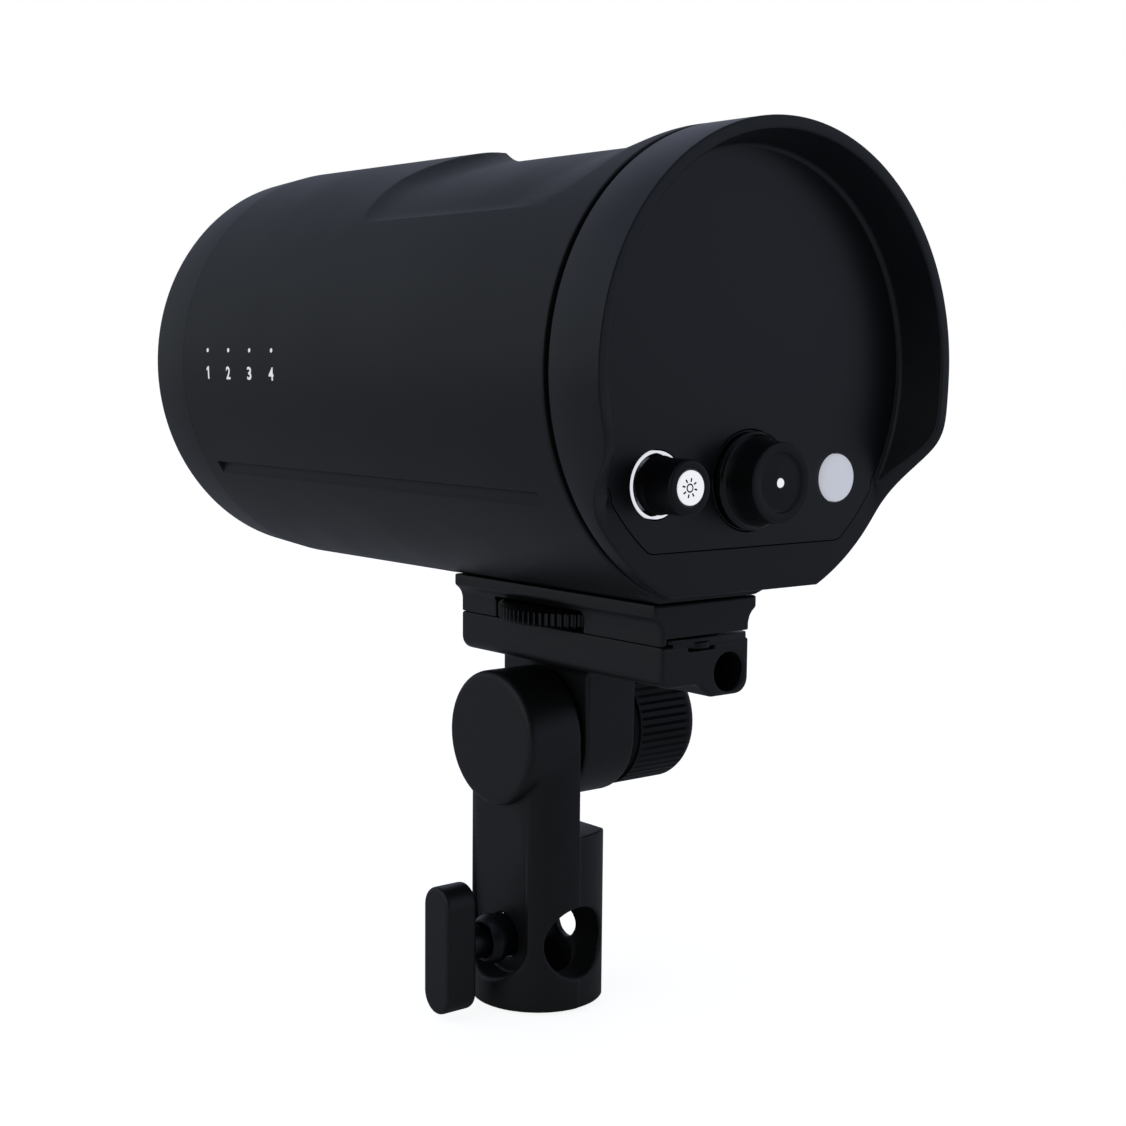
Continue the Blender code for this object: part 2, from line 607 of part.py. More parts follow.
MODULE_HALF, MODULE_Z = 25.6, (-3.6, 32.6)    # display module; z from the head's axis
TEST_HOLE_R = TEST_R + 0.4
cut(rear, prism(glass_outline(GAP), "Y", 66.4, 70.0), "glass_seat")
cut(rear, group(
    cylinder(MAIN_LINE, 4.2, 60, 70, 16),
    cylinder(MODEL_LINE, 4.2, 60, 70, 16),
    cylinder(TEST_LINE, TEST_HOLE_R, 60, 70, 20),
    box(around(0, MODULE_HALF + LOOSE), (60, 70),
        from_axis(MODULE_Z[0] - LOOSE, MODULE_Z[1] + LOOSE))), "pass_holes")
glass = piece("display_glass", prism(glass_outline(0.0), "Y", 66.7, GLASS_Y), PANEL_GLASS, HEAD)
cut(glass, group(
    cylinder(MAIN_LINE, 10.7, 60, 72, 28),
    cylinder(MODEL_LINE, 7.1, 60, 72, 24),
    cylinder(TEST_LINE, TEST_HOLE_R, 60, 72, 24)), "control_holes")
piece("display_module", box(around(0, MODULE_HALF), (62.0, 66.2), from_axis(*MODULE_Z)),
      GREY, HEAD, smooth=False)
seal = piece("groove_seal", tube(HEAD_LINE, 43.4, 48.9, CASE_Y[1] + GAP, REAR_Y[0] - GAP, 32),
             RUBBER, HEAD)
cut(seal, box(around(0, 40), (60, 66), (BODY_Z - 60, CHIN_Z + 0.5)), "chin_flat")

# control board with two encoders and a switch
BOARD_Y = (56.8, 58.2)
ON_BOARD_Y = BOARD_Y[1] + GAP
piece("control_board", cylinder(HEAD_LINE, 39.5, *BOARD_Y, 28), CIRCUIT, HEAD)
for name, line, radius in (("main_encoder", MAIN_LINE, 6.6), ("model_encoder", MODEL_LINE, 5.6)):
    piece(name, lathe([
        (0, ON_BOARD_Y), (radius, ON_BOARD_Y), (radius, 63.4), (3.7, 63.4), (3.7, 66.2),
        (2.4, 66.2), (2.4, 60.0), (0, 60.0)], line, 16), ALUMINIUM, HEAD)
piece("test_switch", box(around(TEST_X, 3), (ON_BOARD_Y, 62.1), around(TEST_Z, 3)),
      GREY, HEAD, smooth=False)

# rings set in the glass round the dials
piece("model_light_ring", tube(MODEL_LINE, 6.05, 6.76, 66.8, GLASS_Y + 0.2, 28), WHITE, HEAD)
piece("main_dial_base_ring", lathe([
    (8.9, 66.8), (10.4, 66.8), (10.4, GLASS_Y - 0.35), (10.1, GLASS_Y - 0.15),
    (8.9, GLASS_Y - 0.15)], MAIN_LINE, 28), RUBBER, HEAD)

# dials and button
SHAFT_R, SHAFT_Y = 1.9, 63.9
for name, line, parent in (("main_dial_plunger", MAIN_LINE, MAIN),
                           ("model_dial_plunger", MODEL_LINE, MODEL)):
    piece(name, cylinder(line, SHAFT_R, 61.4, SHAFT_Y - GAP, 12), STEEL, parent)
piece("main_dial_shaft", cylinder(MAIN_LINE, SHAFT_R, SHAFT_Y, 74.2, 12), STEEL, MAIN)
piece("main_dial_knob", lathe([
    (2.2, 69.0), (9.9, 69.0), (10.2, 69.4), (10.0, 69.95), (9.2, 70.6), (8.6, 72.0),
    (8.35, 74.0), (MAIN_DIAL_R, 76.7), (7.7, MAIN_FACE_Y), (6.4, MAIN_FACE_Y),
    (6.0, MAIN_FACE_Y - 0.5), (1.55, MAIN_FACE_Y - 0.5), (1.55, 75.8), (0, 75.8), (0, 74.6),
    (2.2, 74.6)], MAIN_LINE, 24), RUBBER, MAIN)
piece("main_dial_dot", cylinder(MAIN_LINE, 1.25, 76.1, MAIN_FACE_Y - 0.1, 16), WHITE, MAIN)
piece("model_dial_knob", lathe([
    (0, SHAFT_Y), (SHAFT_R, SHAFT_Y), (SHAFT_R, 69.4), (5.5, 69.4), (MODEL_R, 77.3),
    (5.0, MODEL_FACE_Y), (3.7, MODEL_FACE_Y), (3.7, 76.6), (0, 76.6)],
    MODEL_LINE, 28), RUBBER, MODEL)
piece("model_dial_badge", cylinder(MODEL_LINE, 3.4, 76.9, MODEL_FACE_Y - 0.05, 24),
      WHITE, MODEL)
piece("test_button", lathe([
    (0, 62.9), (6.4, 62.9), (6.4, 63.4), (TEST_R, 63.4), (TEST_R, 68.3), (4.9, 68.9),
    (3.9, 69.3), (2.2, 69.6), (0, 69.7)], TEST_LINE, 24), WHITE, TEST)

# ============================ stand adapter ============================
SCREW_X = 6.5
SCREWS = (("adapter_screw_front", -9.4), ("adapter_screw_rear", 40.8))   # (name, y)
BOLT_HOLE_R = 4.4


def screw_holes(radius, low, high, segments):
    return group(*(cylinder(("Z", (SCREW_X, y)), radius, low, high, segments)
                   for _, y in SCREWS))


# upper block, flanged at the top: (x, z) down its +X side
BLOCK_SIDE = [(FLANGE_HALF, BLOCK_Z[1]), (FLANGE_HALF, 98.6), (14.4, 98.0), (13.5, 97.0),
              (13.0, 95.9), (PLATE_HALF, 94.6), (PLATE_HALF, BLOCK_Z[0])]
block_section = BLOCK_SIDE + [(-x, z) for x, z in reversed(BLOCK_SIDE)]
block = piece("adapter_block", prism(block_section, "Y", *PLATE_Y), ANODISED, HEAD, smooth=False)
cut(block, cylinder(WHEEL_LINE, WHEEL_R + 1.0, 90, WHEEL_Z[1] + LOOSE, 36), "wheel_room")
cut(block, cylinder(WHEEL_LINE, 5.3, 95, 103, 16), "screw_hole")
cut(block, box((-13.3, 11.4), (45.6, 60.0), (90.0, 93.7)), "spring_room")
cut(block, screw_holes(1.9, 91, 99, 10), "screw_pilots")

# lower plate, thicker round the umbrella hole on the -X side: (x, z)
PLATE_SECTION = [
    (-PLATE_HALF, PLATE_Z[1]), (PLATE_HALF, PLATE_Z[1]), (PLATE_HALF, 86.0), (12.2, 84.4),
    (11.0, 83.3), (9.8, PLATE_Z[0]), (1.4, PLATE_Z[0]), (-0.2, 81.2), (-2.4, 80.2),
    (-4.5, 80.0), (-10.3, 80.0), (-12.1, 80.7), (-PLATE_HALF, 82.4)]
lug_section = arc(LUG_R, -180, 0, 18, (0, TILT_Z)) + [(LUG_R - 0.4, 84.0), (-13.0, 84.0)]
plate = piece("umbrella_plate", prism(PLATE_SECTION, "Y", *PLATE_Y), ANODISED, HEAD,
              smooth=False)
add(plate, prism(lug_section, "X", *LUG_X), "lug")
cut(plate, cylinder(("Y", (UMBRELLA_X, UMBRELLA_Z)), UMBRELLA_R, -40, 80, 20), "umbrella_hole")
cut(plate, cylinder(TILT_LINE, BOLT_HOLE_R, -30, 10, 16), "bolt_hole")
cut(plate, box((-2.5, 5.1), (50.2, 60.0), (90.6, 96.0)), "nose_room")
cut(plate, screw_holes(1.9, 86, 94, 10), "screw_holes")
cut(plate, screw_holes(3.5, 80, 86.4, 14), "screw_wells")

spring = piece("umbrella_spring", box((-12.9, 10.9), (46.0, 56.4), (92.4, 93.3)),
               STEEL, HEAD, smooth=False)
add(spring, cylinder(("Z", (1.3, 54.0)), 3.3, 91.1, 92.9, 16), "nose")
for name, y in SCREWS:
    piece(name, lathe([
        (0, 98.4), (1.6, 98.4), (1.6, 86.1), (3.1, 86.1), (3.1, 83.6), (1.5, 83.6),
        (1.5, 84.8), (0, 84.8)], ("Z", (SCREW_X, y)), 12), DARK_STEEL, HEAD)

# toothed thumbwheel with the tripod screw
wheel_section = toothed((0, WHEEL_Y), 75, [(0.0, WHEEL_R - 0.7), (0.35, WHEEL_R)])
wheel = piece("thumbwheel", prism(wheel_section, "Z", *WHEEL_Z), DARK_STEEL, WHEEL)
cut(wheel, cylinder(WHEEL_LINE, 5.0, 90, 99, 16), "bore")
piece("tripod_screw", lathe([(0, 92.8), (4.7, 92.8), (4.7, 107.6), (4.0, 108.2), (0, 108.2)],
                            WHEEL_LINE, 16), STEEL, WHEEL)

# ============================ tilt joint ============================
piece("tilt_friction_disc", tube(TILT_LINE, BOLT_HOLE_R, 13.6, -1.0, -0.1, 24), GREY, STAND)
piece("tilt_bolt", lathe([(0, -31.0), (3.6, -31.0), (4.0, -30.4), (4.0, 8.6), (0, 8.6)],
                         TILT_LINE, 16), STEEL, STAND)
piece("tilt_thrust_washer", tube(TILT_LINE, BOLT_HOLE_R, 9.5, -17.2, -16.6, 20), STEEL, KNOB)
# ribbed knob with a collar towards the lug and a domed outer end
knob_section = toothed((0, TILT_Z), 52, [(0.0, KNOB_R), (0.5, KNOB_R - 0.6)])
knob = piece("tilt_knob", prism(knob_section, "X", -34.3, -18.6), RUBBER, KNOB)
add(knob, lathe([
    (0, -19.4), (13.9, -19.4), (14.5, -18.8), (14.5, KNOB_X[1]), (0, KNOB_X[1])],
    TILT_LINE, 24), "collar")
add(knob, lathe([
    (0, KNOB_X[0]), (9.0, -38.7), (11.6, -38.1), (13.5, -36.9), (14.7, -35.4),
    (15.1, -33.9), (0, -33.9)], TILT_LINE, 28), "end")
cut(knob, cylinder(TILT_LINE, 4.3, -32.4, -10, 16), "bore")

# ============================ stand arm ============================
FLAT_HALF, FLAT_Z, FLAT_DROP = 9.9, 15.4, 8.5   # +X recess: half width, end centre, end depth
arm = piece("stand_arm", lathe([
    (0, 0), (15.3, 0), (ARM_R, 0.7), (ARM_R, ARM_TOP_Z), (0, ARM_TOP_Z)],
    ARM_LINE, 36), ANODISED, STAND)
flat_section = [(FLAT_HALF, 70), (FLAT_HALF, FLAT_Z)]
for k in range(1, 10):
    turn = math.pi * k / 10
    flat_section.append((FLAT_HALF * math.cos(turn), FLAT_Z - FLAT_DROP * math.sin(turn)))
flat_section += [(-FLAT_HALF, FLAT_Z), (-FLAT_HALF, 70)]
side_flat = prism(flat_section, "X", 0, 40)
for vertex in side_flat.verts:
    if vertex.co.x < 1:    # the inner face leans: x 12.3 at z 48, 2.0 less 32 further down
        vertex.co.x = 12.3 - 2.0 * (48.0 - vertex.co.z) / 32.0
cut(arm, side_flat, "side_flat")
add(arm, lathe([
    (0, -3.0), (ARM_HEAD_R, -3.0), (ARM_HEAD_R, 13.4), (15.2, 14.6), (14.2, ARM_OUT_X),
    (0, ARM_OUT_X)], TILT_LINE, 32, turn=0.03), "head_disc")
cut(arm, box((-30, ARM_IN_X), around(0, 30), (ARM_STEP_Z, 90)), "half")
cut(arm, box((-30, -10.2), around(0, 30), (-5, 90)), "back_flat")
cut(arm, cylinder(ARM_LINE, SOCKET_R, -5, SOCKET_TOP, 24, turn=0.04), "socket")
cut(arm, cylinder(("Y", (0, CROSS_Z)), CROSS_R, -30, 30, 24, turn=0.061), "cross_hole")
cut(arm, cylinder(CLAMP_LINE, 4.1, -30, -2, 20, turn=0.083), "side_hole")
cut(arm, cylinder(CLAMP_LINE, 5.3, 0, 30, 16), "bush_hole")
cut(arm, cylinder(TILT_LINE, 4.3, -5, 9.0, 16), "bolt_seat")

# clamp screw with its bush, pad and wing
piece("clamp_screw_bush", lathe([
    (4.2, 9.0), (5.0, 9.0), (5.0, 13.2), (5.85, 13.2), (5.85, 14.8), (5.45, 15.5),
    (4.9, 16.9), (4.2, 16.9)], CLAMP_LINE, 20), ANODISED, STAND)
piece("clamp_pad", cylinder(CLAMP_LINE, 4.0, 5.6, 7.0, 16), BRASS, CLAMP)
piece("clamp_screw", cylinder(CLAMP_LINE, 3.9, 7.0 + GAP, 21.4, 16), DARK_STEEL, CLAMP)
WING_R, WING_HALF = 4.85, 15.0     # end radius and half length
wing_reach = WING_HALF - WING_R
stadium = arc(WING_R, 0, 180, 10, (0, CROSS_Z + wing_reach))
stadium += arc(WING_R, 180, 360, 10, (0, CROSS_Z - wing_reach))
wing = piece("wing_handle", prism(stadium, "X", 21.8, 30.0), ANODISED, CLAMP)
wing_edge = wing.modifiers.new("edge", "BEVEL")
wing_edge.width = 0.7 * UNIT
wing_edge.segments = 1
wing_edge.limit_method = "ANGLE"
wing_edge.angle_limit = math.radians(40)
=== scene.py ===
"""A monolight strobe: fine meshes, procedural materials, light and camera round its CAD frame.

The head is a drum lying along Y: the frosted glass faces -Y and the dials face +Y. The
stand arm rises along Z below it. Lengths are millimetres until a mesh is made; Y = 0 is
the stand's own axis. Angles round the head are degrees: 0 is +X, 90 is up, 180 is -X.
"""
import bpy
import bmesh
import math
from math import pi
import numpy as np
from mathutils import Vector, Matrix


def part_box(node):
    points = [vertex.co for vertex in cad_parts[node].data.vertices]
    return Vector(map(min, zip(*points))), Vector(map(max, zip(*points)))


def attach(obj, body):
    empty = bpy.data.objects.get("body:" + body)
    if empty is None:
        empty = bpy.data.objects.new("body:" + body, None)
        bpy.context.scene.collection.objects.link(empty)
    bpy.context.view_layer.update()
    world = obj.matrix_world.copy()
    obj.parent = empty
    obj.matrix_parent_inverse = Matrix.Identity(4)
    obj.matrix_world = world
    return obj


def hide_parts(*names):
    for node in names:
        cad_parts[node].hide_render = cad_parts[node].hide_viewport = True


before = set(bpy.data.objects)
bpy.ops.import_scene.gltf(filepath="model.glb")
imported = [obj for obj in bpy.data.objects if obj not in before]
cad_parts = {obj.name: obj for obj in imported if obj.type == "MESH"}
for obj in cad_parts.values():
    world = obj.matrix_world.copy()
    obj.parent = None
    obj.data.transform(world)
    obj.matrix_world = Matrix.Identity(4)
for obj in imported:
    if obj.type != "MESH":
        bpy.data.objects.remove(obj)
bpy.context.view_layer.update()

# ============================ places read from the frame ============================
MM = 0.001


def frame_box(node):
    return np.array(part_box(node)) * 1000


# moves the stand axis from Y = 0 to its place in the frame
SHIFT = np.array([0.0, frame_box("stand_arm")[:, 1].mean(), 0.0])
BOXES = {node: frame_box(node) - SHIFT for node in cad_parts}


def low(node, axis):
    return BOXES[node][0]["XYZ".index(axis)]


def high(node, axis):
    return BOXES[node][1]["XYZ".index(axis)]


def middle(node, axis):
    return (low(node, axis) + high(node, axis)) / 2


def half_size(node, axis):
    return (high(node, axis) - low(node, axis)) / 2


HEAD_Z = middle("front_ring", "Z")
BODY_R = half_size("front_ring", "X")
CASE_REAR = high("main_casing", "Y")
HOOD_FRONT = low("rear_housing", "Y")
HOOD_REAR = high("rear_housing", "Y") - 0.4
CHIN_DROP = HEAD_Z - low("rear_housing", "Z")
GLASS_Y = high("display_glass", "Y")
DIAL_Z = middle("main_dial_knob", "Z")
MODEL_X = middle("model_dial_knob", "X")
TEST_AT = (middle("test_button", "X"), middle("test_button", "Z"))
TILT_Z = middle("tilt_knob", "Z")
CROSS_Z = middle("clamp_screw", "Z")
WHEEL_Y = middle("thumbwheel", "Y")
WHEEL_R = half_size("thumbwheel", "Y")
ADAPTER_Y = (low("adapter_block", "Y") - 0.1, high("adapter_block", "Y") + 0.25)

# ============================ materials ============================
MATERIALS = {}


def add_node(tree, kind, inputs=None, **settings):
    """A shader node; each input is given a value or the socket that feeds it."""
    node = tree.nodes.new("ShaderNode" + kind)
    for key, value in settings.items():
        setattr(node, key, value)
    for key, value in (inputs or {}).items():
        if isinstance(value, bpy.types.NodeSocket):
            tree.links.new(value, node.inputs[key])
        else:
            node.inputs[key].default_value = value
    return node


def new_material(name):
    material = bpy.data.materials.new(name)
    material.use_nodes = True
    MATERIALS[name] = material
    return material.node_tree, material.node_tree.nodes["Principled BSDF"]


def set_inputs(shader, values):
    for key, value in values.items():
        shader.inputs[key].default_value = value


def scaled(colour, factor):
    return [c * factor for c in colour]


def colour_ramp(tree, factor, dark, light, ends=(0.3, 0.7)):
    ramp = add_node(tree, "ValToRGB", {"Fac": factor})
    for element, position, colour in zip(ramp.color_ramp.elements, ends, (dark, light)):
        element.position = position
        element.color = (*colour, 1)
    return ramp.outputs["Color"]


def rough_and_bump(tree, shader, source, rough, spread, height, bump, distance=0.0001):
    """Roughness that wanders with a noise, and a bump from a height."""
    rough_map = add_node(tree, "MapRange", {"Value": source, "To Min": rough - spread,
                                            "To Max": rough + spread})
    tree.links.new(rough_map.outputs["Result"], shader.inputs["Roughness"])
    bump_node = add_node(tree, "Bump", {"Strength": bump, "Distance": distance,
                                        "Height": height})
    tree.links.new(bump_node.outputs["Normal"], shader.inputs["Normal"])


def moulded(name, colour, rough, grain, bump, spec=0.5, vary=0.18, edge=0.0, coat=0.0,
            rough_vary=0.08):
    """A moulded or coated surface: fine grain in the bump, soft mottling in colour
    and roughness, and edges a touch lighter where edge is above zero."""
    tree, shader = new_material(name)
    place = add_node(tree, "TexCoord").outputs["Object"]
    fine = add_node(tree, "TexNoise", {"Vector": place, "Scale": grain, "Detail": 3.0,
                                       "Roughness": 0.6}).outputs["Fac"]
    broad = add_node(tree, "TexNoise", {"Vector": place, "Scale": 38.0,
                                        "Detail": 4.0}).outputs["Fac"]
    mottling = colour_ramp(tree, broad, scaled(colour, 1 - vary), scaled(colour, 1 + vary))
    # Mix sockets for colours: input 0 is the factor, 6 and 7 the colours; output 2
    speckled = add_node(tree, "Mix", {0: 0.3, 6: mottling}, data_type="RGBA")
    contrast = add_node(tree, "MapRange", {"Value": fine, "From Min": 0.35, "From Max": 0.65})
    specks = add_node(tree, "Mix", {0: contrast.outputs["Result"],
                                    6: (*scaled(colour, 0.6), 1),
                                    7: (*scaled(colour, 1.4), 1)}, data_type="RGBA")
    tree.links.new(specks.outputs[2], speckled.inputs[7])
    result = speckled.outputs[2]
    if edge > 0:
        # colour is mixed toward a paler tone on sharp convex edges
        geometry = add_node(tree, "NewGeometry")
        edge_lift = add_node(tree, "MapRange", {"Value": geometry.outputs["Pointiness"],
                                           "From Min": 0.52, "From Max": 0.62,
                                           "To Max": edge})
        pale = [c * 2.2 + 0.01 for c in colour]
        result = add_node(tree, "Mix", {0: edge_lift.outputs["Result"], 6: result,
                                        7: (*pale, 1)}, data_type="RGBA").outputs[2]
    tree.links.new(result, shader.inputs["Base Color"])
    set_inputs(shader, {"Specular IOR Level": spec})
    if coat:
        set_inputs(shader, {"Coat Weight": coat, "Coat Roughness": 0.2})
    rough_and_bump(tree, shader, broad, rough, rough_vary, fine, bump, distance=0.00012)


def metal(name, colour, rough, stretch=(1, 1, 14), bump=0.08):
    """Bare or blackened metal with turning or brushing marks."""
    tree, shader = new_material(name)
    place = add_node(tree, "TexCoord").outputs["Object"]
    mapping = add_node(tree, "Mapping", {"Vector": place, "Scale": stretch})
    marks = add_node(tree, "TexNoise", {"Vector": mapping.outputs["Vector"], "Scale": 420.0,
                                        "Detail": 6.0}).outputs["Fac"]
    result = colour_ramp(tree, marks, scaled(colour, 0.88), scaled(colour, 1.12))
    tree.links.new(result, shader.inputs["Base Color"])
    set_inputs(shader, {"Metallic": 1.0})
    rough_and_bump(tree, shader, marks, rough, 0.12, marks, bump)


def diffuser(name, colour, rough, glow=0.0, transmission=0.0, grain=1500.0):
    """Translucent white plastic or frosted glass. glow adds emission; on the button, badge and
    print materials that is painted light which makes them read white and lit.
    """
    tree, shader = new_material(name)
    place = add_node(tree, "TexCoord").outputs["Object"]
    noise = add_node(tree, "TexNoise", {"Vector": place, "Scale": grain,
                                        "Detail": 2.0}).outputs["Fac"]
    result = colour_ramp(tree, noise, scaled(colour, 0.94), colour, ends=(0, 1))
    tree.links.new(result, shader.inputs["Base Color"])
    set_inputs(shader, {"Subsurface Weight": 0.15, "Subsurface Radius": (0.002, 0.002, 0.002),
                        "Transmission Weight": transmission})
    # emission: painted light on the white button, badges and print
    if glow:
        set_inputs(shader, {"Emission Color": (*colour, 1), "Emission Strength": glow})
    rough_and_bump(tree, shader, noise, rough, 0.05, noise, bump=0.05)


moulded("casing_black", (0.0075, 0.0078, 0.0082), rough=0.46, grain=3000, bump=0.16, edge=0.15)
moulded("ring_black", (0.0085, 0.0091, 0.0108), rough=0.41, grain=3000, bump=0.14, edge=0.15)
moulded("hood_black", (0.0085, 0.0093, 0.0120), rough=0.375, grain=3400, bump=0.10, edge=0.15)
moulded("panel_window", (0.0075, 0.0082, 0.0095), rough=0.34, grain=5000, bump=0.03,
        vary=0.06, coat=0.1, rough_vary=0.03)
moulded("pack_black", (0.0078, 0.008, 0.0085), rough=0.48, grain=2800, bump=0.18, edge=0.15)
moulded("cast_black", (0.0095, 0.0100, 0.0098), rough=0.42, grain=2200, bump=0.20,
        edge=0.35, rough_vary=0.06)
moulded("arm_black", (0.0080, 0.0084, 0.0085), rough=0.45, grain=2400, bump=0.20,
        edge=0.35, rough_vary=0.06)
moulded("soft_touch", (0.0048, 0.0050, 0.0055), rough=0.58, grain=4200, bump=0.12, spec=0.35)
moulded("knob_black", (0.0036, 0.0038, 0.0042), rough=0.50, grain=3600, bump=0.14, spec=0.32)
moulded("dial_black", (0.0042, 0.0045, 0.0050), rough=0.42, grain=4600, bump=0.08, spec=0.42)
moulded("gloss_black", (0.006, 0.0063, 0.007), rough=0.16, grain=4200, bump=0.02,
        vary=0.05, rough_vary=0.03)
moulded("bush_black", (0.0050, 0.0052, 0.0058), rough=0.36, grain=3600, bump=0.10, spec=0.42)
# painted shade: a darker black for the faces inside the arm's bores
moulded("bore_painted_shade", (0.0030, 0.0031, 0.0033), rough=0.60, grain=2400, bump=0.20, spec=0.22)
moulded("seal_rubber", (0.0035, 0.0035, 0.0038), rough=0.75, grain=2000, bump=0.25, spec=0.25)
moulded("grey_moulding", (0.045, 0.046, 0.05), rough=0.6, grain=1600, bump=0.25)
moulded("cell_sleeve", (0.03, 0.08, 0.22), rough=0.35, grain=900, bump=0.08, vary=0.1)
moulded("capacitor_sleeve", (0.015, 0.02, 0.05), rough=0.3, grain=900, bump=0.06, vary=0.1)
moulded("circuit_board", (0.012, 0.085, 0.04), rough=0.4, grain=700, bump=0.3, vary=0.35)
moulded("ceramic", (0.70, 0.68, 0.62), rough=0.65, grain=1800, bump=0.25, vary=0.06)
moulded("led_phosphor", (0.80, 0.58, 0.08), rough=0.5, grain=1800, bump=0.1, vary=0.08)
metal("steel_bright", (0.42, 0.42, 0.43), rough=0.32)
metal("steel_spring", (0.045, 0.045, 0.047), rough=0.36, stretch=(16, 1, 1))
metal("steel_black", (0.050, 0.050, 0.052), rough=0.36, bump=0.12)
metal("brass_turned", (0.58, 0.43, 0.19), rough=0.34)
metal("aluminium_bright", (0.72, 0.73, 0.74), rough=0.30, stretch=(1, 14, 1))
# painted light: the test button glows so that it reads white and lit
diffuser("button_white_painted_glow", (0.74, 0.76, 0.83), rough=0.38, glow=0.54)
diffuser("ring_light", (0.80, 0.81, 0.86), rough=0.35, glow=0.85)
# painted light: the dial badge and index dot glow so that they read white and lit
diffuser("badge_white_painted_glow", (0.84, 0.84, 0.86), rough=0.42, glow=0.84)
moulded("print_black", (0.010, 0.010, 0.010), rough=0.6, grain=3000, bump=0.05)
# painted light: the white print glows so that it reads bright and lit
diffuser("print_white_painted_glow", (0.78, 0.78, 0.79), rough=0.55, glow=0.66)
diffuser("frosted_glass", (0.86, 0.88, 0.86), rough=0.45, transmission=0.25, grain=3000)
diffuser("quartz_tube", (0.88, 0.90, 0.92), rough=0.12, transmission=0.6, grain=600)

# ============================ mesh tools ============================
# a mesh is a pair (verts, faces), in millimetres


def new_object(name, mesh):
    verts, faces = mesh
    data = bpy.data.meshes.new(name)
    data.from_pydata(((np.asarray(verts, float) + SHIFT) * MM).tolist(), [],
                     [list(map(int, face)) for face in faces])
    thing = bpy.data.objects.new(name, data)
    bpy.context.scene.collection.objects.link(thing)
    return thing


def smooth(data, angle):
    data.shade_smooth()
    data.set_sharp_from_angle(angle=math.radians(angle))


def piece(name, mesh, material, body, node=None, sharp=None):
    """A piece that rides on a body and may stand for a CAD node. Edges steeper than
    sharp degrees stay crisp; without it the piece is flat shaded."""
    thing = new_object(name, mesh)
    thing.data.validate()
    thing.data.update()
    thing.data.materials.append(MATERIALS[material])
    if sharp:
        smooth(thing.data, sharp)
    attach(thing, body)
    if node:
        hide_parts(node)
    return thing


def outward(verts, faces):
    """The faces, turned round if the closed mesh is inside out."""
    centred = np.asarray(verts, float)
    centred = centred - centred.mean(0)
    fans = np.array([(f[0], f[k], f[k + 1]) for f in faces for k in range(1, len(f) - 1)])
    first, second, third = (centred[fans[:, i]] for i in range(3))
    volume = (first * np.cross(second, third)).sum()
    return [list(face)[::-1] if volume < 0 else list(face) for face in faces]


# puts (across, up, along) on the axes, for a shape that runs along the named one
PLACE = {"X": lambda across, up, along: np.stack([along, across, up], -1),
         "Y": lambda across, up, along: np.stack([across, along, up], -1),
         "Z": lambda across, up, along: np.stack([across, up, along], -1)}


def turned(profile, axis, centre, segments, shape=None):
    """A (radius, along) profile turned round an axis. A zero radius closes on the
    axis. shape(angles, radius, along) may vary the radius round a ring."""
    closed = profile[0][0] >= 1e-6 or profile[-1][0] >= 1e-6
    angles = np.arange(segments) * 2 * pi / segments
    verts, faces, rings = [], [], []
    for radius, along in profile:
        count = 1 if radius < 1e-6 else segments
        rings.append(range(len(verts), len(verts) + count))
        if count == 1:
            verts.append(PLACE[axis](*centre, along))
            continue
        radii = shape(angles, radius, along) if shape else np.full(segments, radius)
        verts.extend(PLACE[axis](centre[0] + radii * np.cos(angles),
                                 centre[1] + radii * np.sin(angles),
                                 np.full(segments, along)))
    for k in range(len(rings) if closed else len(rings) - 1):
        here, after = rings[k], rings[(k + 1) % len(rings)]
        if len(here) == 1 and len(after) == 1:
            continue
        for i in range(segments):
            j = (i + 1) % segments
            if len(here) == 1:
                faces.append([here[0], after[j], after[i]])
            elif len(after) == 1:
                faces.append([here[i], here[j], after[0]])
            else:
                faces.append([here[i], here[j], after[j], after[i]])
    return np.array(verts), outward(verts, faces)


def rounded(points, radii, steps=5, closed=True):
    """A 2D outline with its corners rounded. radii is one number or one per corner."""
    count = len(points)
    radii = radii if hasattr(radii, "__len__") else [radii] * count
    result = []
    for i, point in enumerate(points):
        if (not closed and i in (0, count - 1)) or radii[i] <= 0:
            result.append(tuple(map(float, point)))
            continue
        point = np.array(point, float)
        back = np.array(points[i - 1], float) - point
        ahead = np.array(points[(i + 1) % count], float) - point
        back_length, ahead_length = np.linalg.norm(back), np.linalg.norm(ahead)
        if back_length < 1e-9 or ahead_length < 1e-9:
            result.append(tuple(point))
            continue
        back, ahead = back / back_length, ahead / ahead_length
        half = math.acos(max(-1, min(1, float(back @ ahead)))) / 2
        if half > 1.55:    # all but straight
            result.append(tuple(point))
            continue
        reach = min(radii[i] / math.tan(half), back_length * 0.48, ahead_length * 0.48)
        radius = reach * math.tan(half)
        middle_way = (back + ahead) / np.linalg.norm(back + ahead)
        centre = point + middle_way * (radius / math.sin(half))
        start, end = point + back * reach - centre, point + ahead * reach - centre
        angle = math.atan2(start[1], start[0])
        sweep = (math.atan2(end[1], end[0]) - angle + pi) % (2 * pi) - pi
        for k in range(steps + 1):
            turn = angle + sweep * k / steps
            result.append((centre[0] + radius * math.cos(turn),
                           centre[1] + radius * math.sin(turn)))
    return result


def shifted(base, points):
    """Profile points (radius, offset) as (radius, base + offset)."""
    return [(radius, base + offset) for radius, offset in points]


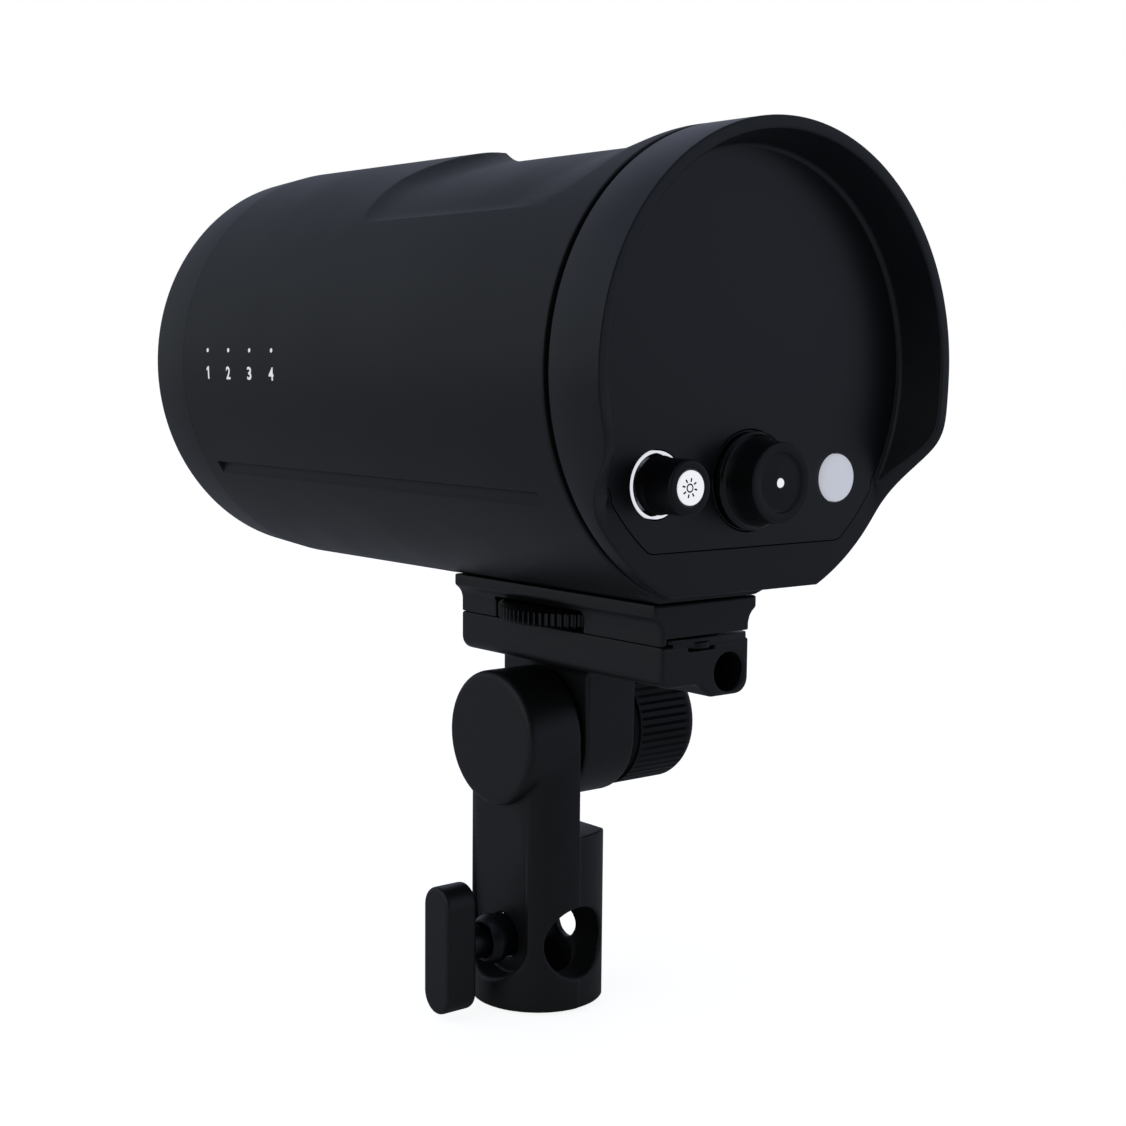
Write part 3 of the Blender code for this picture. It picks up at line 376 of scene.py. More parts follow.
def prism(outline, axis, start, end, edge, steps):
    """An outline pushed along an axis, its two rims rounded by edge."""
    points = np.array(outline, float)
    after = np.roll(points, -1, 0)
    if np.sum(points[:, 0] * after[:, 1] - points[:, 1] * after[:, 0]) < 0:
        points = points[::-1]

    def unit(ways):
        return ways / np.maximum(np.linalg.norm(ways, axis=1, keepdims=True), 1e-9)

    edge_in = unit(points - np.roll(points, 1, 0))
    edge_out = unit(np.roll(points, -1, 0) - points)
    normal_in = np.stack([edge_in[:, 1], -edge_in[:, 0]], 1)
    mitre = normal_in + np.stack([edge_out[:, 1], -edge_out[:, 0]], 1)
    mitre /= np.maximum((mitre * normal_in).sum(1, keepdims=True), 0.3)
    rows = []    # (inset, along)
    for k in range(steps + 1):
        turn = (pi / 2) * k / steps
        rows.append((edge * (1 - math.sin(turn)), start + edge * (1 - math.cos(turn))))
    rows += [(inset, end + start - along) for inset, along in rows[::-1]]
    count = len(points)
    verts, faces = [], []
    for inset, along in rows:
        ring = points - mitre * inset
        verts.extend(PLACE[axis](ring[:, 0], ring[:, 1], np.full(count, along)))
    for k in range(len(rows) - 1):
        for i in range(count):
            j = (i + 1) % count
            faces.append([k * count + i, k * count + j,
                          (k + 1) * count + j, (k + 1) * count + i])
    faces.append(list(range(count))[::-1])
    faces.append([(len(rows) - 1) * count + i for i in range(count)])
    return np.array(verts), outward(verts, faces)


# ---- distance fields: negative inside; blend is the width of the softened join ----


def join(field, other, blend):
    overlap = np.maximum(blend - np.abs(field - other), 0) / blend
    return np.minimum(field, other) - overlap * overlap * blend * 0.25


def limit(field, other, blend):
    """Keeps what lies in both."""
    return -join(-field, -other, blend)


def cut(field, tool, blend):
    """Takes the tool away."""
    return limit(field, -tool, blend)


def cylinder(points, axis, centre, radius, start=None, end=None, blend=0.6):
    across, up, along = {"X": (1, 2, 0), "Y": (0, 2, 1), "Z": (0, 1, 2)}[axis]
    field = np.hypot(points[..., across] - centre[0], points[..., up] - centre[1]) - radius
    if start is not None:
        field = limit(field, start - points[..., along], blend)
    if end is not None:
        field = limit(field, points[..., along] - end, blend)
    return field


def block(points, lowest, highest):
    lowest, highest = np.array(lowest), np.array(highest)
    excess = np.abs(points - (lowest + highest) / 2) - (highest - lowest) / 2
    return np.linalg.norm(np.maximum(excess, 0), axis=-1) + np.minimum(excess.max(-1), 0)


def outline_field(across, up, outline):
    """Signed distance to a closed outline."""
    outline = np.array(outline, float)
    nearest = np.full(across.shape, 1e18)
    sign = np.ones(across.shape)
    for start, end in zip(outline, np.roll(outline, 1, axis=0)):
        edge_x, edge_y = end - start
        from_x, from_y = across - start[0], up - start[1]
        share = (from_x * edge_x + from_y * edge_y) / (edge_x * edge_x + edge_y * edge_y)
        share = np.clip(share, 0, 1)
        nearest = np.minimum(nearest, (from_x - edge_x * share) ** 2
                             + (from_y - edge_y * share) ** 2)
        tests = [up >= start[1], up < end[1], edge_x * from_y > edge_y * from_x]
        sign = np.where(np.all(tests, axis=0) | ~np.any(tests, axis=0), -sign, sign)
    return sign * np.sqrt(nearest)


def surface(field, lowest, highest, cell):
    """Surface nets: the skin of field < 0 as quads, drawn onto the exact surface."""
    lowest, highest = np.array(lowest, float), np.array(highest, float)
    count = np.ceil((highest - lowest) / cell).astype(int) + 1
    axes = [lowest[i] + cell * np.arange(count[i]) for i in range(3)]
    values = np.empty(count, np.float32)
    for i in range(0, count[0], 24):    # in slabs, to save memory
        slab = np.meshgrid(axes[0][i:i + 24], axes[1], axes[2], indexing="ij")
        values[i:i + 24] = field(np.stack(slab, -1))
    inside = values < 0

    # one point for each crossed cell: the mean of the crossings on its twelve edges
    cells = tuple(count - 1)
    total = np.zeros((*cells, 3), np.float32)
    hits = np.zeros(cells, np.float32)

    def corner(offset):
        return values[tuple(slice(o, size + o) for o, size in zip(offset, cells))]

    for start in np.ndindex(2, 2, 2):
        for axis in range(3):
            if start[axis]:
                continue
            before = corner(start)
            after = corner([start[i] + (i == axis) for i in range(3)])
            crossed = (before < 0) != (after < 0)
            share = np.where(crossed, before / np.where(crossed, before - after, 1), 0)
            for i in range(3):
                total[..., i] += np.where(crossed, start[i] + (share if i == axis else 0), 0)
            hits += crossed
    used = hits > 0
    index = np.full(cells, -1, np.int64)
    index[used] = np.arange(used.sum())
    points = lowest + cell * (np.argwhere(used) + total[used] / hits[used][:, None])

    # one quad round each crossed grid edge
    quads = []
    for axis in range(3):
        others = [(axis + 1) % 3, (axis + 2) % 3]
        edges = np.argwhere(np.diff(inside, axis=axis))
        sides = edges[:, others]
        edges = edges[((sides > 0) & (sides < count[others] - 1)).all(1)]
        corners = []
        for step in ((0, 0), (1, 0), (1, 1), (0, 1)):
            around = edges.copy()
            around[:, others] -= step
            corners.append(index[tuple(around.T)])
        quad = np.stack(corners, 1)
        quads.append(np.where(inside[tuple(edges.T)][:, None], quad, quad[:, ::-1]))

    reach = 0.02
    for _ in range(4):
        slope = np.stack([(field(points + step) - field(points - step)) / (2 * reach)
                          for step in np.eye(3) * reach], -1)
        move = -(field(points) / np.maximum((slope * slope).sum(-1), 0.05))[:, None] * slope
        length = np.linalg.norm(move, axis=1, keepdims=True)
        points = points + move * np.minimum(1, 0.5 * cell / np.maximum(length, 1e-9))
    return points, outward(points, np.concatenate(quads))


def ease(share):
    share = np.clip(share, 0, 1)
    return share * share * (3 - 2 * share)


def fall(distance, radius):
    """How far a rounded edge falls away at a distance from the edge."""
    distance = np.clip(distance, 0, radius)
    return radius - np.sqrt(np.maximum(radius * radius - (radius - distance) ** 2, 0))


# ============================ casing and battery ============================
TINY = 1e-6
DEG = 180 / pi / BODY_R        # degrees for one millimetre round the casing
BAY_EDGE = 0.45                # rounding round the battery bay and the pack
TAPER_Y = -80.4                # the front end narrows a little from here

# a flat on each side, parted from the round above it by a step
SIDE_X, SIDE_TOP = 42.2, 23.1  # its distance from the axis; its top below the axis
SIDE_Y = (-74.6, 53.6)
STEP_OUTER_A = math.degrees(math.asin(SIDE_TOP / BODY_R))
STEP_INNER_A = math.degrees(math.atan2(SIDE_TOP, SIDE_X))
SIDE_END_A = math.degrees(math.acos(SIDE_X / BODY_R))
# the flat underneath
FOOT_DROP, FOOT_Y = 48.0, (-21.4, 56.6)
FOOT_A = math.degrees(math.acos(FOOT_DROP / BODY_R))
# the chin's flat runs under the casing's rear end too
TAIL_A = math.degrees(math.acos(CHIN_DROP / BODY_R))
# the battery bay, and the pack with a gap all round
BAY_A, BAY_Y = (90.0, 196.0), (-20.0, 54.4)
PACK_A = (BAY_A[0] + 0.45, BAY_A[1] - 0.45)
PACK_Y = (BAY_Y[0] + 0.35, BAY_Y[1] - 0.35)

# ends of the finger scoop on the casing's upper side: (angle, y)
SCOOP_FRONT = np.array([
    (40, -17.0), (44, -18.8), (50, -19.3), (58, -19.2), (65, -16.8), (70, -14.8),
    (75, -13.3), (80, -12.6), (85, -12.8), (90, -13.8), (90.4, -20.2), (110, -20.2)]).T
SCOOP_REAR = np.array([
    (40, 47.0), (43, 49.0), (45, 51.4), (48, 53.6), (52, 55.4), (60, 57.6), (70, 59.4),
    (85, 61.0), (100, 61.8), (110, 62.0)]).T


def scoop(angle, y):
    """Depth of the finger scoop."""
    turn = np.clip(angle - 40.0, 0, 42)
    depth = 0.75 * (1 - np.exp(-turn / 1.5)) + 2.15 * np.sin(pi / 2 * turn / 42) ** 1.6
    far = 1 - ease((angle - 92.0) / 13.0)
    front = np.clip((y - np.interp(angle, *SCOOP_FRONT)) / 10.5, 0, 1)
    front = 1 - (1 - front) ** 2.7
    rear = np.clip((np.interp(angle, *SCOOP_REAR) - y) / 17.0, 0, 1)
    rear = np.sin(rear * pi / 2) ** 1.15
    return depth * far * front * rear


def within(values, start, end):
    return (values >= start - TINY) & (values <= end + TINY)


def casing_r(angle, y):
    """Outer radius of the casing, before its edges are rounded."""
    angle = (np.asarray(angle, float) + 180) % 360 - 180
    y = np.asarray(y, float)
    radius = np.full(np.broadcast(angle, y).shape, BODY_R)
    radius = radius - scoop(np.clip(angle, 40, 110), y) * ((angle > 40) & (angle < 106))
    from_down = angle + 90
    foot = within(y, *FOOT_Y) & within(from_down, -FOOT_A, FOOT_A)
    radius = np.where(foot, FOOT_DROP / np.cos(np.radians(from_down)), radius)
    tail = (y > FOOT_Y[1] + TINY) & within(from_down, -TAIL_A, TAIL_A)
    chin = CHIN_DROP / np.cos(np.radians(np.clip(from_down, -60, 60)))
    radius = np.where(tail, np.minimum(radius, chin), radius)
    below_side = np.where(angle > -90, -angle, angle + 180)
    side = within(y, *SIDE_Y) & within(below_side, STEP_INNER_A, SIDE_END_A)
    return np.where(side, SIDE_X / np.cos(np.radians(below_side)), radius)


def lines(*parts):
    """Sorted, distinct grid positions from ranges and single values."""
    values = sorted({round(float(value), 4) for part in parts
                     for value in (part if hasattr(part, "__len__") else [part])})
    keep = [values[0]]
    for value in values[1:]:
        if value - keep[-1] > 0.02:
            keep.append(value)
    return keep


def near(value, side=1):
    """Close grid lines beside an edge that is rounded."""
    return [value + side * step for step in (0.0, 0.06, 0.16, 0.3, 0.5)]


def shell(angles, ys, outer_r, wall, filled, wrap):
    """The cells of an angle-by-y grid that are filled, as a shell with closed rims."""
    rows = len(angles) if wrap else len(angles) - 1
    grid_a, grid_y = np.meshgrid(angles, ys, indexing="ij")

    def layer(radius):
        turn = np.radians(grid_a)
        return np.stack([radius * np.cos(turn), grid_y,
                         HEAD_Z + radius * np.sin(turn)], -1).reshape(-1, 3)

    verts = np.concatenate([layer(outer_r(grid_a, grid_y)),
                            layer(casing_r(grid_a, grid_y) - wall)])
    fill = np.zeros((rows, len(ys) - 1), bool)
    for i in range(rows):
        start, end = angles[i], angles[(i + 1) % len(angles)]
        if end < start:
            end += 360
        for j in range(len(ys) - 1):
            fill[i, j] = filled((start + end) / 2, (ys[j] + ys[j + 1]) / 2)

    def has(i, j):
        if not 0 <= j < len(ys) - 1:
            return False
        return fill[i % rows, j] if wrap else 0 <= i < rows and fill[i, j]

    def vert(i, j):
        return (i % len(angles)) * len(ys) + j

    inner = len(angles) * len(ys)    # first vertex of the inner layer
    faces = []
    for i, j in np.argwhere(fill):
        quad = [vert(i, j), vert(i + 1, j), vert(i + 1, j + 1), vert(i, j + 1)]
        faces.append(quad)
        faces.append([v + inner for v in quad[::-1]])
        for k, beside in enumerate(((i, j - 1), (i + 1, j), (i, j + 1), (i - 1, j))):
            if not has(*beside):
                start, end = quad[k], quad[(k + 1) % 4]
                faces.append([end, start, start + inner, end + inner])
    used, compact = np.unique(np.array(faces), return_inverse=True)
    return verts[used], outward(verts[used], compact.reshape(-1, 4))


def bay_fall(angle, y):
    """Rounding of the casing round the bay."""
    beside = np.maximum.reduce([(BAY_A[0] - angle) / DEG, (angle - BAY_A[1]) / DEG,
                                np.zeros_like(angle)])
    along = np.maximum.reduce([BAY_Y[0] - y, y - BAY_Y[1], np.zeros_like(y)])
    return fall(np.hypot(beside, along), BAY_EDGE)


def case_outer_r(angle, y):
    by_bay = (angle > BAY_A[0] - 3) & (angle < BAY_A[1] + 3)
    return (casing_r(angle, y) - np.where(by_bay, bay_fall(angle, y), 0)
            - fall(CASE_REAR - y, 0.5) - fall(y - TAPER_Y, 0.08))


def in_case(angle, y):
    return not (BAY_A[0] < angle < BAY_A[1] and BAY_Y[0] < y < BAY_Y[1])


case_angles = lines(
    np.arange(0, 360, 1.5), np.arange(39.4, 44, 0.3), np.arange(44, 90, 0.6),
    np.arange(90, 108, 1.0),
    [360 - STEP_OUTER_A, 360 - STEP_INNER_A, 360 - SIDE_END_A,
     180 + STEP_OUTER_A, 180 + STEP_INNER_A, 180 + SIDE_END_A,
     360 - STEP_OUTER_A + 0.25, 180 + STEP_OUTER_A - 0.25],
    [270 - FOOT_A, 270 + FOOT_A, 270 - TAIL_A, 270 + TAIL_A],
    near(BAY_A[0], -DEG), near(BAY_A[1], DEG))
case_ys = lines(
    near(TAPER_Y), near(CASE_REAR, -1),
    [SIDE_Y[0] - 0.15, SIDE_Y[0], SIDE_Y[1], SIDE_Y[1] + 0.15],
    [FOOT_Y[0] - 0.15, FOOT_Y[0], FOOT_Y[1], FOOT_Y[1] + 0.15], np.arange(-78, -24, 8),
    np.arange(-24, 16, 0.45), np.arange(16, 44, 1.1), np.arange(44, 62, 0.6),
    near(BAY_Y[0], -1), near(BAY_Y[1], 1))
piece("casing_shell", shell(case_angles, case_ys, case_outer_r, 2.4, in_case, wrap=True),
      "casing_black", "head", "main_casing", sharp=38)

# opening for the latch: its box with a gap, at the shell's radius there
LATCH_GAP, LATCH_R = 0.4, 49.0
LATCH_A = math.degrees(math.asin((half_size("battery_latch", "Z") + LATCH_GAP) / LATCH_R))
LATCH_Y = (low("battery_latch", "Y") - LATCH_GAP, high("battery_latch", "Y") + LATCH_GAP)


def pack_outer_r(angle, y):
    to_edge = np.minimum.reduce([(angle - PACK_A[0]) / DEG, (PACK_A[1] - angle) / DEG,
                                 y - PACK_Y[0], PACK_Y[1] - y])
    # shallow thumb rest round the latch
    distance = np.hypot((angle - 180.0) / DEG * 0.9, y - 47.4)
    rest = 0.5 * (1 - ease((distance - 5.2) / 3.0)) * (distance < 8.3)
    return casing_r(angle, y) - fall(to_edge, BAY_EDGE) - rest


def in_pack(angle, y):
    return not (180 - LATCH_A < angle < 180 + LATCH_A and LATCH_Y[0] < y < LATCH_Y[1])


pack_angles = lines(np.arange(91, 196, 1.0), near(PACK_A[0], DEG), near(PACK_A[1], -DEG),
                    np.arange(168, 192, 0.5), 180 - LATCH_A, 180 + LATCH_A)
pack_ys = lines(np.arange(-19, 54, 1.1), near(PACK_Y[0]), near(PACK_Y[1], -1),
                np.arange(38, 53, 0.55), LATCH_Y)
pack = piece("battery_shell",
             shell(pack_angles, pack_ys, pack_outer_r, 2.2, in_pack, wrap=False),
             "pack_black", "battery", sharp=38)

# ============================ front end ============================


def taper_r(y):
    return BODY_R - 0.0696 * (TAPER_Y - y)


RING_REAR = TAPER_Y - 0.04
ring_profile = rounded(
    [(46.9, -79.6), (46.9, RING_REAR), (taper_r(RING_REAR), RING_REAR),
     (taper_r(-96.0), -96.0), (48.3, -97.6), (43.6, -97.6), (42.9, -96.4), (42.9, -94.2),
     (45.7, -94.2), (45.7, -79.6)],
    [0.2, 0, 0.1, 1.2, 1.0, 0.8, 0.5, 0, 0, 0.2], steps=6)
piece("front_bumper", turned(ring_profile, "Y", (0, HEAD_Z), 200),
      "ring_black", "head", "front_ring", sharp=40)

# domed glass with a flange behind its edge
DOME_Y, DOME_RISE, DOME_R = -95.9, 3.2, 42.4
dome = [(radius, DOME_Y + DOME_RISE * (radius / DOME_R) ** 2.2)
        for radius in (0, 4, 8, 12, 16, 20, 24, 28, 32, 36, 39, 41.4, DOME_R)]
flange = rounded([(43.0, -92.6), (45.3, -92.6), (45.3, -89.8)], [0, 0.3, 0], closed=False)
piece("front_diffuser", turned(dome + flange + [(0, -89.8)], "Y", (0, HEAD_Z), 160),
      "frosted_glass", "head", "front_glass", sharp=40)

# ============================ rear housing ============================
# the hood's rear rim: (height from the axis, distance behind HOOD_REAR)
RIM = np.array([
    (-60, -10.55), (-31.0, -10.55), (-29.3, -10.45), (-26.6, -9.6), (-24.1, -8.1),
    (-21.6, -6.0), (-18.9, -3.4), (-16.1, -0.9), (-13.6, 0.1), (-11.8, 0.35), (-9.0, 0.3),
    (-7.0, 0.15), (-3.0, 0), (60, 0)]).T
rim_z = np.linspace(-60, 60, 1201)
kernel = np.exp(-0.5 * (np.arange(-30, 31) / 11.0) ** 2)
rim_soft = np.convolve(np.pad(np.interp(rim_z, *RIM), 30, mode="edge"),
                       kernel / kernel.sum(), "valid")
CHIN_Y = GLASS_Y - 0.05

# the panel glass: a circle, with a lower end that starts at a corner on each side
GLASS_R = 45.0
CORNER = (40.02, -20.57)
CORNER_A = math.degrees(math.atan2(-CORNER[1], CORNER[0]))
lower_end = rounded([CORNER, (37.4, -23.2), (36.9, -27.2), (31.6, -34.3), (26.5, -35.9),
                     (0, -35.9)], [0, 2.2, 5.0, 5.0, 5.0, 0], steps=8, closed=False)
lower_points = [(x0 + (x1 - x0) * k / 40, z0 + (z1 - z0) * k / 40)
                for (x0, z0), (x1, z1) in zip(lower_end, lower_end[1:])
                for k in range(40)] + [lower_end[-1]]
lower_polar = np.array(sorted((math.degrees(math.atan2(z, x)), math.hypot(x, z))
                              for x, z in lower_points)).T


def glass_r(angle):
    """Edge of the panel glass as a radius at one angle."""
    angle = (angle + 180) % 360 - 180
    side = angle if angle > -90 else -180 - angle
    if side > -CORNER_A:
        return GLASS_R
    return min(float(np.interp(side, *lower_polar)), GLASS_R)


def hood_r(angle):
    """Outer radius of the rear module, with its flat chin."""
    down = -math.sin(math.radians(angle))
    return CHIN_DROP / down if down * BODY_R > CHIN_DROP else BODY_R


def hood_section(angle):
    """The hood's closed (radius, y) section at one angle."""
    outer, glass = hood_r(angle), glass_r(angle)
    rim_height = BODY_R * math.sin(math.radians(angle))
    rim = max(HOOD_REAR + float(np.interp(rim_height, rim_z, rim_soft)), CHIN_Y)
    tall = rim - GLASS_Y
    wall_r = 45.5 + tall * (47.3 - 45.5) / (HOOD_REAR - GLASS_Y)   # inner wall at the rim
    front_edge, rim_edge = 0.6, 0.42
    section = [(44.0 if outer > 46 else outer - 1.6, HOOD_FRONT),
               (outer - front_edge, HOOD_FRONT)]
    section += [(outer - front_edge + front_edge * math.sin(t),
                 HOOD_FRONT + front_edge - front_edge * math.cos(t))
                for t in np.linspace(0.3, pi / 2, 4)]
    section += [(outer - rim_edge + rim_edge * math.cos(t),
                 rim - rim_edge + rim_edge * math.sin(t))
                for t in np.linspace(0, pi / 2, 6)]
    # rim top to inner edge and down the inner wall
    inner_edge = min(0.5, max(0.0, tall * 0.5))
    wall = [(wall_r + inner_edge - inner_edge * math.sin(t),
             rim - inner_edge + inner_edge * math.cos(t))
            for t in np.linspace(0, pi / 2, 5)]
    fillet = min(1.3, max(0.0, tall * 0.45))
    wall += [(45.62 - fillet * (1 - math.cos(t)), CHIN_Y + fillet - fillet * math.sin(t))
             for t in np.linspace(0, pi / 2, 6)]
    # a low rim melts into the chin, which runs straight from the outer edge to the glass
    start, end = outer - rim_edge, glass + 0.26
    shares = [(k + 1) / (len(wall) + 1) for k in range(len(wall))]
    flat = [(start + (end - start) * s, rim + (CHIN_Y - rim) * s) for s in shares]
    weight = float(ease((tall + 0.2) / 1.6))
    section += [(weight * p[0] + (1 - weight) * q[0], weight * p[1] + (1 - weight) * q[1])
                for p, q in zip(wall, flat)]
    # seat round the glass
    seat_r = 40.0 if glass > 41 else glass - 2.0
    section += [(end, CHIN_Y), (glass + 0.17, CHIN_Y - 0.1), (glass + 0.17, GLASS_Y - 1.75),
                (seat_r, GLASS_Y - 1.75), (seat_r, HOOD_FRONT)]
    return section


def hood_mesh():
    chin_a = math.degrees(math.asin(CHIN_DROP / BODY_R))
    angles = np.array(lines(
        np.arange(0, 360, 1.0),
        [360 - chin_a, 180 + chin_a, 360 - chin_a + 0.35, 180 + chin_a - 0.35,
         360 - chin_a - 0.35, 180 + chin_a + 0.35, 360 - CORNER_A, 180 + CORNER_A]))
    sections = np.array([hood_section(float(angle)) for angle in angles])
    turn = np.radians(angles)[:, None]
    radius, y = sections[..., 0], sections[..., 1]
    verts = np.stack([radius * np.cos(turn), y, HEAD_Z + radius * np.sin(turn)], -1)
    rows, columns = verts.shape[:2]
    verts = verts.reshape(-1, 3)
    faces = []
    for i in range(rows):
        here, after = i * columns, (i + 1) % rows * columns
        for j in range(columns):
            k = (j + 1) % columns
            faces.append([here + j, after + j, after + k, here + k])
    return verts, outward(verts, faces)


piece("rear_hood", hood_mesh(), "hood_black", "head", "rear_housing", sharp=42)


def glass_outline():
    angles = np.concatenate([np.arange(-25.0, 205.1, 2.0), np.arange(205.5, 335, 0.5),
                             [360 - CORNER_A, 180 + CORNER_A]])
    return [(glass_r(angle) * math.cos(math.radians(angle)),
             HEAD_Z + glass_r(angle) * math.sin(math.radians(angle)))
            for angle in np.unique(np.round(angles, 4))]


def bake_cut(target, cutters):
    """Cuts the target's own mesh and removes the cutters."""
    bpy.context.view_layer.update()
    for cutter in cutters:
        modifier = target.modifiers.new("cut", "BOOLEAN")
        modifier.operation = "DIFFERENCE"
        modifier.solver = "EXACT"
        modifier.object = cutter
    graph = bpy.context.evaluated_depsgraph_get()
    result = bpy.data.meshes.new_from_object(target.evaluated_get(graph))
    target.modifiers.clear()
    old = target.data
    target.data = result
    bpy.data.meshes.remove(old)
    for cutter in cutters:
        bpy.data.objects.remove(cutter, do_unlink=True)


glass = piece("panel_glass", prism(glass_outline(), "Y", GLASS_Y - 1.4, GLASS_Y, 0.12, 2),
              "panel_window", "head", "display_glass", sharp=35)
# holes for the main dial, the model dial and the test button: (radius, centre)
GLASS_HOLES = [(10.65, (0, DIAL_Z)), (7.05, (MODEL_X, DIAL_Z)), (5.3, TEST_AT)]
bake_cut(glass, [new_object("cut_tool", turned([(0, 60), (radius, 60), (radius, 72), (0, 72)],
                                               "Y", centre, 96))
                 for radius, centre in GLASS_HOLES])
smooth(glass.data, 18)

# ============================ main dial ============================
KNOB_FRONT, KNOB_FACE = low("main_dial_knob", "Y"), high("main_dial_knob", "Y")
cap_profile = shifted(KNOB_FRONT, [
    (2.2, 1.5), (8.5, 1.5), (9.2, 1.62), (8.95, 2.1), (8.72, 2.8), (8.58, 3.7), (8.42, 5.2),
    (8.3, 6.6)])
cap_profile += [(8.24, KNOB_FACE - 0.6)]
cap_profile += [(7.88 + 0.34 * math.cos(t), KNOB_FACE - 0.34 + 0.34 * math.sin(t))
                for t in np.linspace(0.15, pi / 2, 7)]
cap_profile += shifted(KNOB_FACE, [
    (6.3, 0.0), (6.18, -0.04), (6.1, -0.14), (6.02, -0.34), (5.85, -0.44), (5.4, -0.46),
    (4.0, -0.40), (2.4, -0.32), (1.1, -0.28), (1.05, -0.34), (1.05, -1.7), (0, -1.7)])
cap_profile += [(0, 74.3), (2.2, 74.3)]
piece("main_dial_cap", turned(cap_profile, "Y", (0, DIAL_Z), 160),
      "dial_black", "main_dial", "main_dial_knob", sharp=50)

lip_profile = [(8.55, KNOB_FRONT)] + rounded(
    shifted(KNOB_FRONT, [(8.6, 0), (10.15, 0), (10.2, 0.8), (9.6, 1.15), (9.2, 1.6),
                         (8.6, 1.6)]),
    [0, 0.3, 0.3, 0.6, 0.05, 0], steps=6, closed=False)
piece("main_dial_lip", turned(lip_profile, "Y", (0, DIAL_Z), 160),
      "gloss_black", "main_dial", sharp=50)

index_profile = shifted(KNOB_FACE, [(0, -1.6), (0.95, -1.6), (0.95, -0.34), (0.9, -0.24),
                                    (0.76, -0.18), (0.45, -0.14), (0, -0.13)])
piece("main_dial_index", turned(index_profile, "Y", (0, DIAL_Z), 64),
      "badge_white_painted_glow", "main_dial", "main_dial_dot", sharp=50)

BEZEL_FRONT, BEZEL_FACE = low("main_dial_base_ring", "Y"), high("main_dial_base_ring", "Y")
bezel_profile = rounded([(8.9, BEZEL_FRONT), (10.4, BEZEL_FRONT), (10.4, BEZEL_FACE),
                         (8.9, BEZEL_FACE - 0.05)], [0, 0, 0.3, 0.2])
piece("main_dial_bezel", turned(bezel_profile, "Y", (0, DIAL_Z), 128),
      "gloss_black", "head", "main_dial_base_ring", sharp=50)

# ============================ model dial ============================
MODEL_FACE = high("model_dial_knob", "Y")
model_profile = [(0, 63.9), (1.9, 63.9), (1.9, 68.35)] + rounded(
    [(5.75, 68.35), (5.9, 68.6), (5.88, 69.5), (5.6, 70.3), (5.5, MODEL_FACE),
     (3.62, MODEL_FACE), (3.56, MODEL_FACE - 0.4), (0, MODEL_FACE - 0.45)],
    [0.1, 0.2, 0.6, 0.8, 0.7, 0.2, 0.1, 0], steps=6, closed=False)
piece("model_dial_cap", turned(model_profile, "Y", (MODEL_X, DIAL_Z), 128),
      "dial_black", "model_dial", "model_dial_knob", sharp=50)

disc_profile = [(0, MODEL_FACE - 0.4)] + rounded(
    shifted(MODEL_FACE, [(3.4, -0.4), (3.4, 0.1), (0, 0.18)]), [0, 0.22, 0], closed=False)
piece("model_dial_disc", turned(disc_profile, "Y", (MODEL_X - 0.12, DIAL_Z), 80),
      "badge_white_painted_glow", "model_dial", "model_dial_badge", sharp=50)


def sun_mesh():
    """Sun sign: a ring and eight rays, as shallow raised print."""
    sun_x, first_ray = MODEL_X + 0.40, math.radians(12)
    start, end = MODEL_FACE + 0.09, MODEL_FACE + 0.18
    ring_inner, ring_outer = 0.60, 0.90
    ray_inner, ray_outer, ray_half = 1.22, 1.95, 0.17
    verts, faces = turned([(ring_inner, start), (ring_outer, start), (ring_outer, end),
                           (ring_inner, end)], "Y", (sun_x, DIAL_Z), 40)
    verts = verts.tolist()
    for k in range(8):
        turn = 2 * pi * k / 8 + first_ray
        along = np.array([math.cos(turn), math.sin(turn)])
        across = np.array([-math.sin(turn), math.cos(turn)])
        base = len(verts)
        for y in (start, end):
            for reach, side in ((ray_inner, -ray_half), (ray_outer, -ray_half),
                                (ray_outer, ray_half), (ray_inner, ray_half)):
                x, z = reach * along + side * across
                verts.append([sun_x + x, y, DIAL_Z + z])
        faces += [[base + i for i in quad] for quad in (
            (0, 1, 2, 3), (7, 6, 5, 4), (0, 4, 5, 1), (1, 5, 6, 2), (2, 6, 7, 3),
            (3, 7, 4, 0))]
    return verts, faces


piece("model_dial_sun", sun_mesh(), "print_black", "model_dial")

LIGHT_FACE = high("model_light_ring", "Y")
light_profile = rounded(shifted(LIGHT_FACE, [(6.3, -1.5), (6.74, -1.5), (6.74, -0.1),
                                             (6.3, -0.1)]), [0, 0, 0.15, 0.15], steps=4)
light_ring = piece("model_dial_light", turned(light_profile, "Y", (MODEL_X, DIAL_Z), 96),
                   "ring_light", "head", "model_light_ring", sharp=50)
light_ring.visible_glossy = False

# ============================ test button ============================
button_profile = [(0, 62.9), (6.4, 62.9), (6.4, 63.4), (5.1, 63.4)]
button_profile += shifted(high("test_button", "Y"), [
    (5.1, -1.4), (5.04, -1.15), (4.88, -0.9), (4.6, -0.68), (4.2, -0.5), (3.7, -0.34),
    (3.0, -0.21), (2.2, -0.11), (1.2, -0.03), (0, 0)])
piece("test_button_cap", turned(button_profile, "Y", TEST_AT, 112),
      "button_white_painted_glow", "test_button", "test_button", sharp=50)

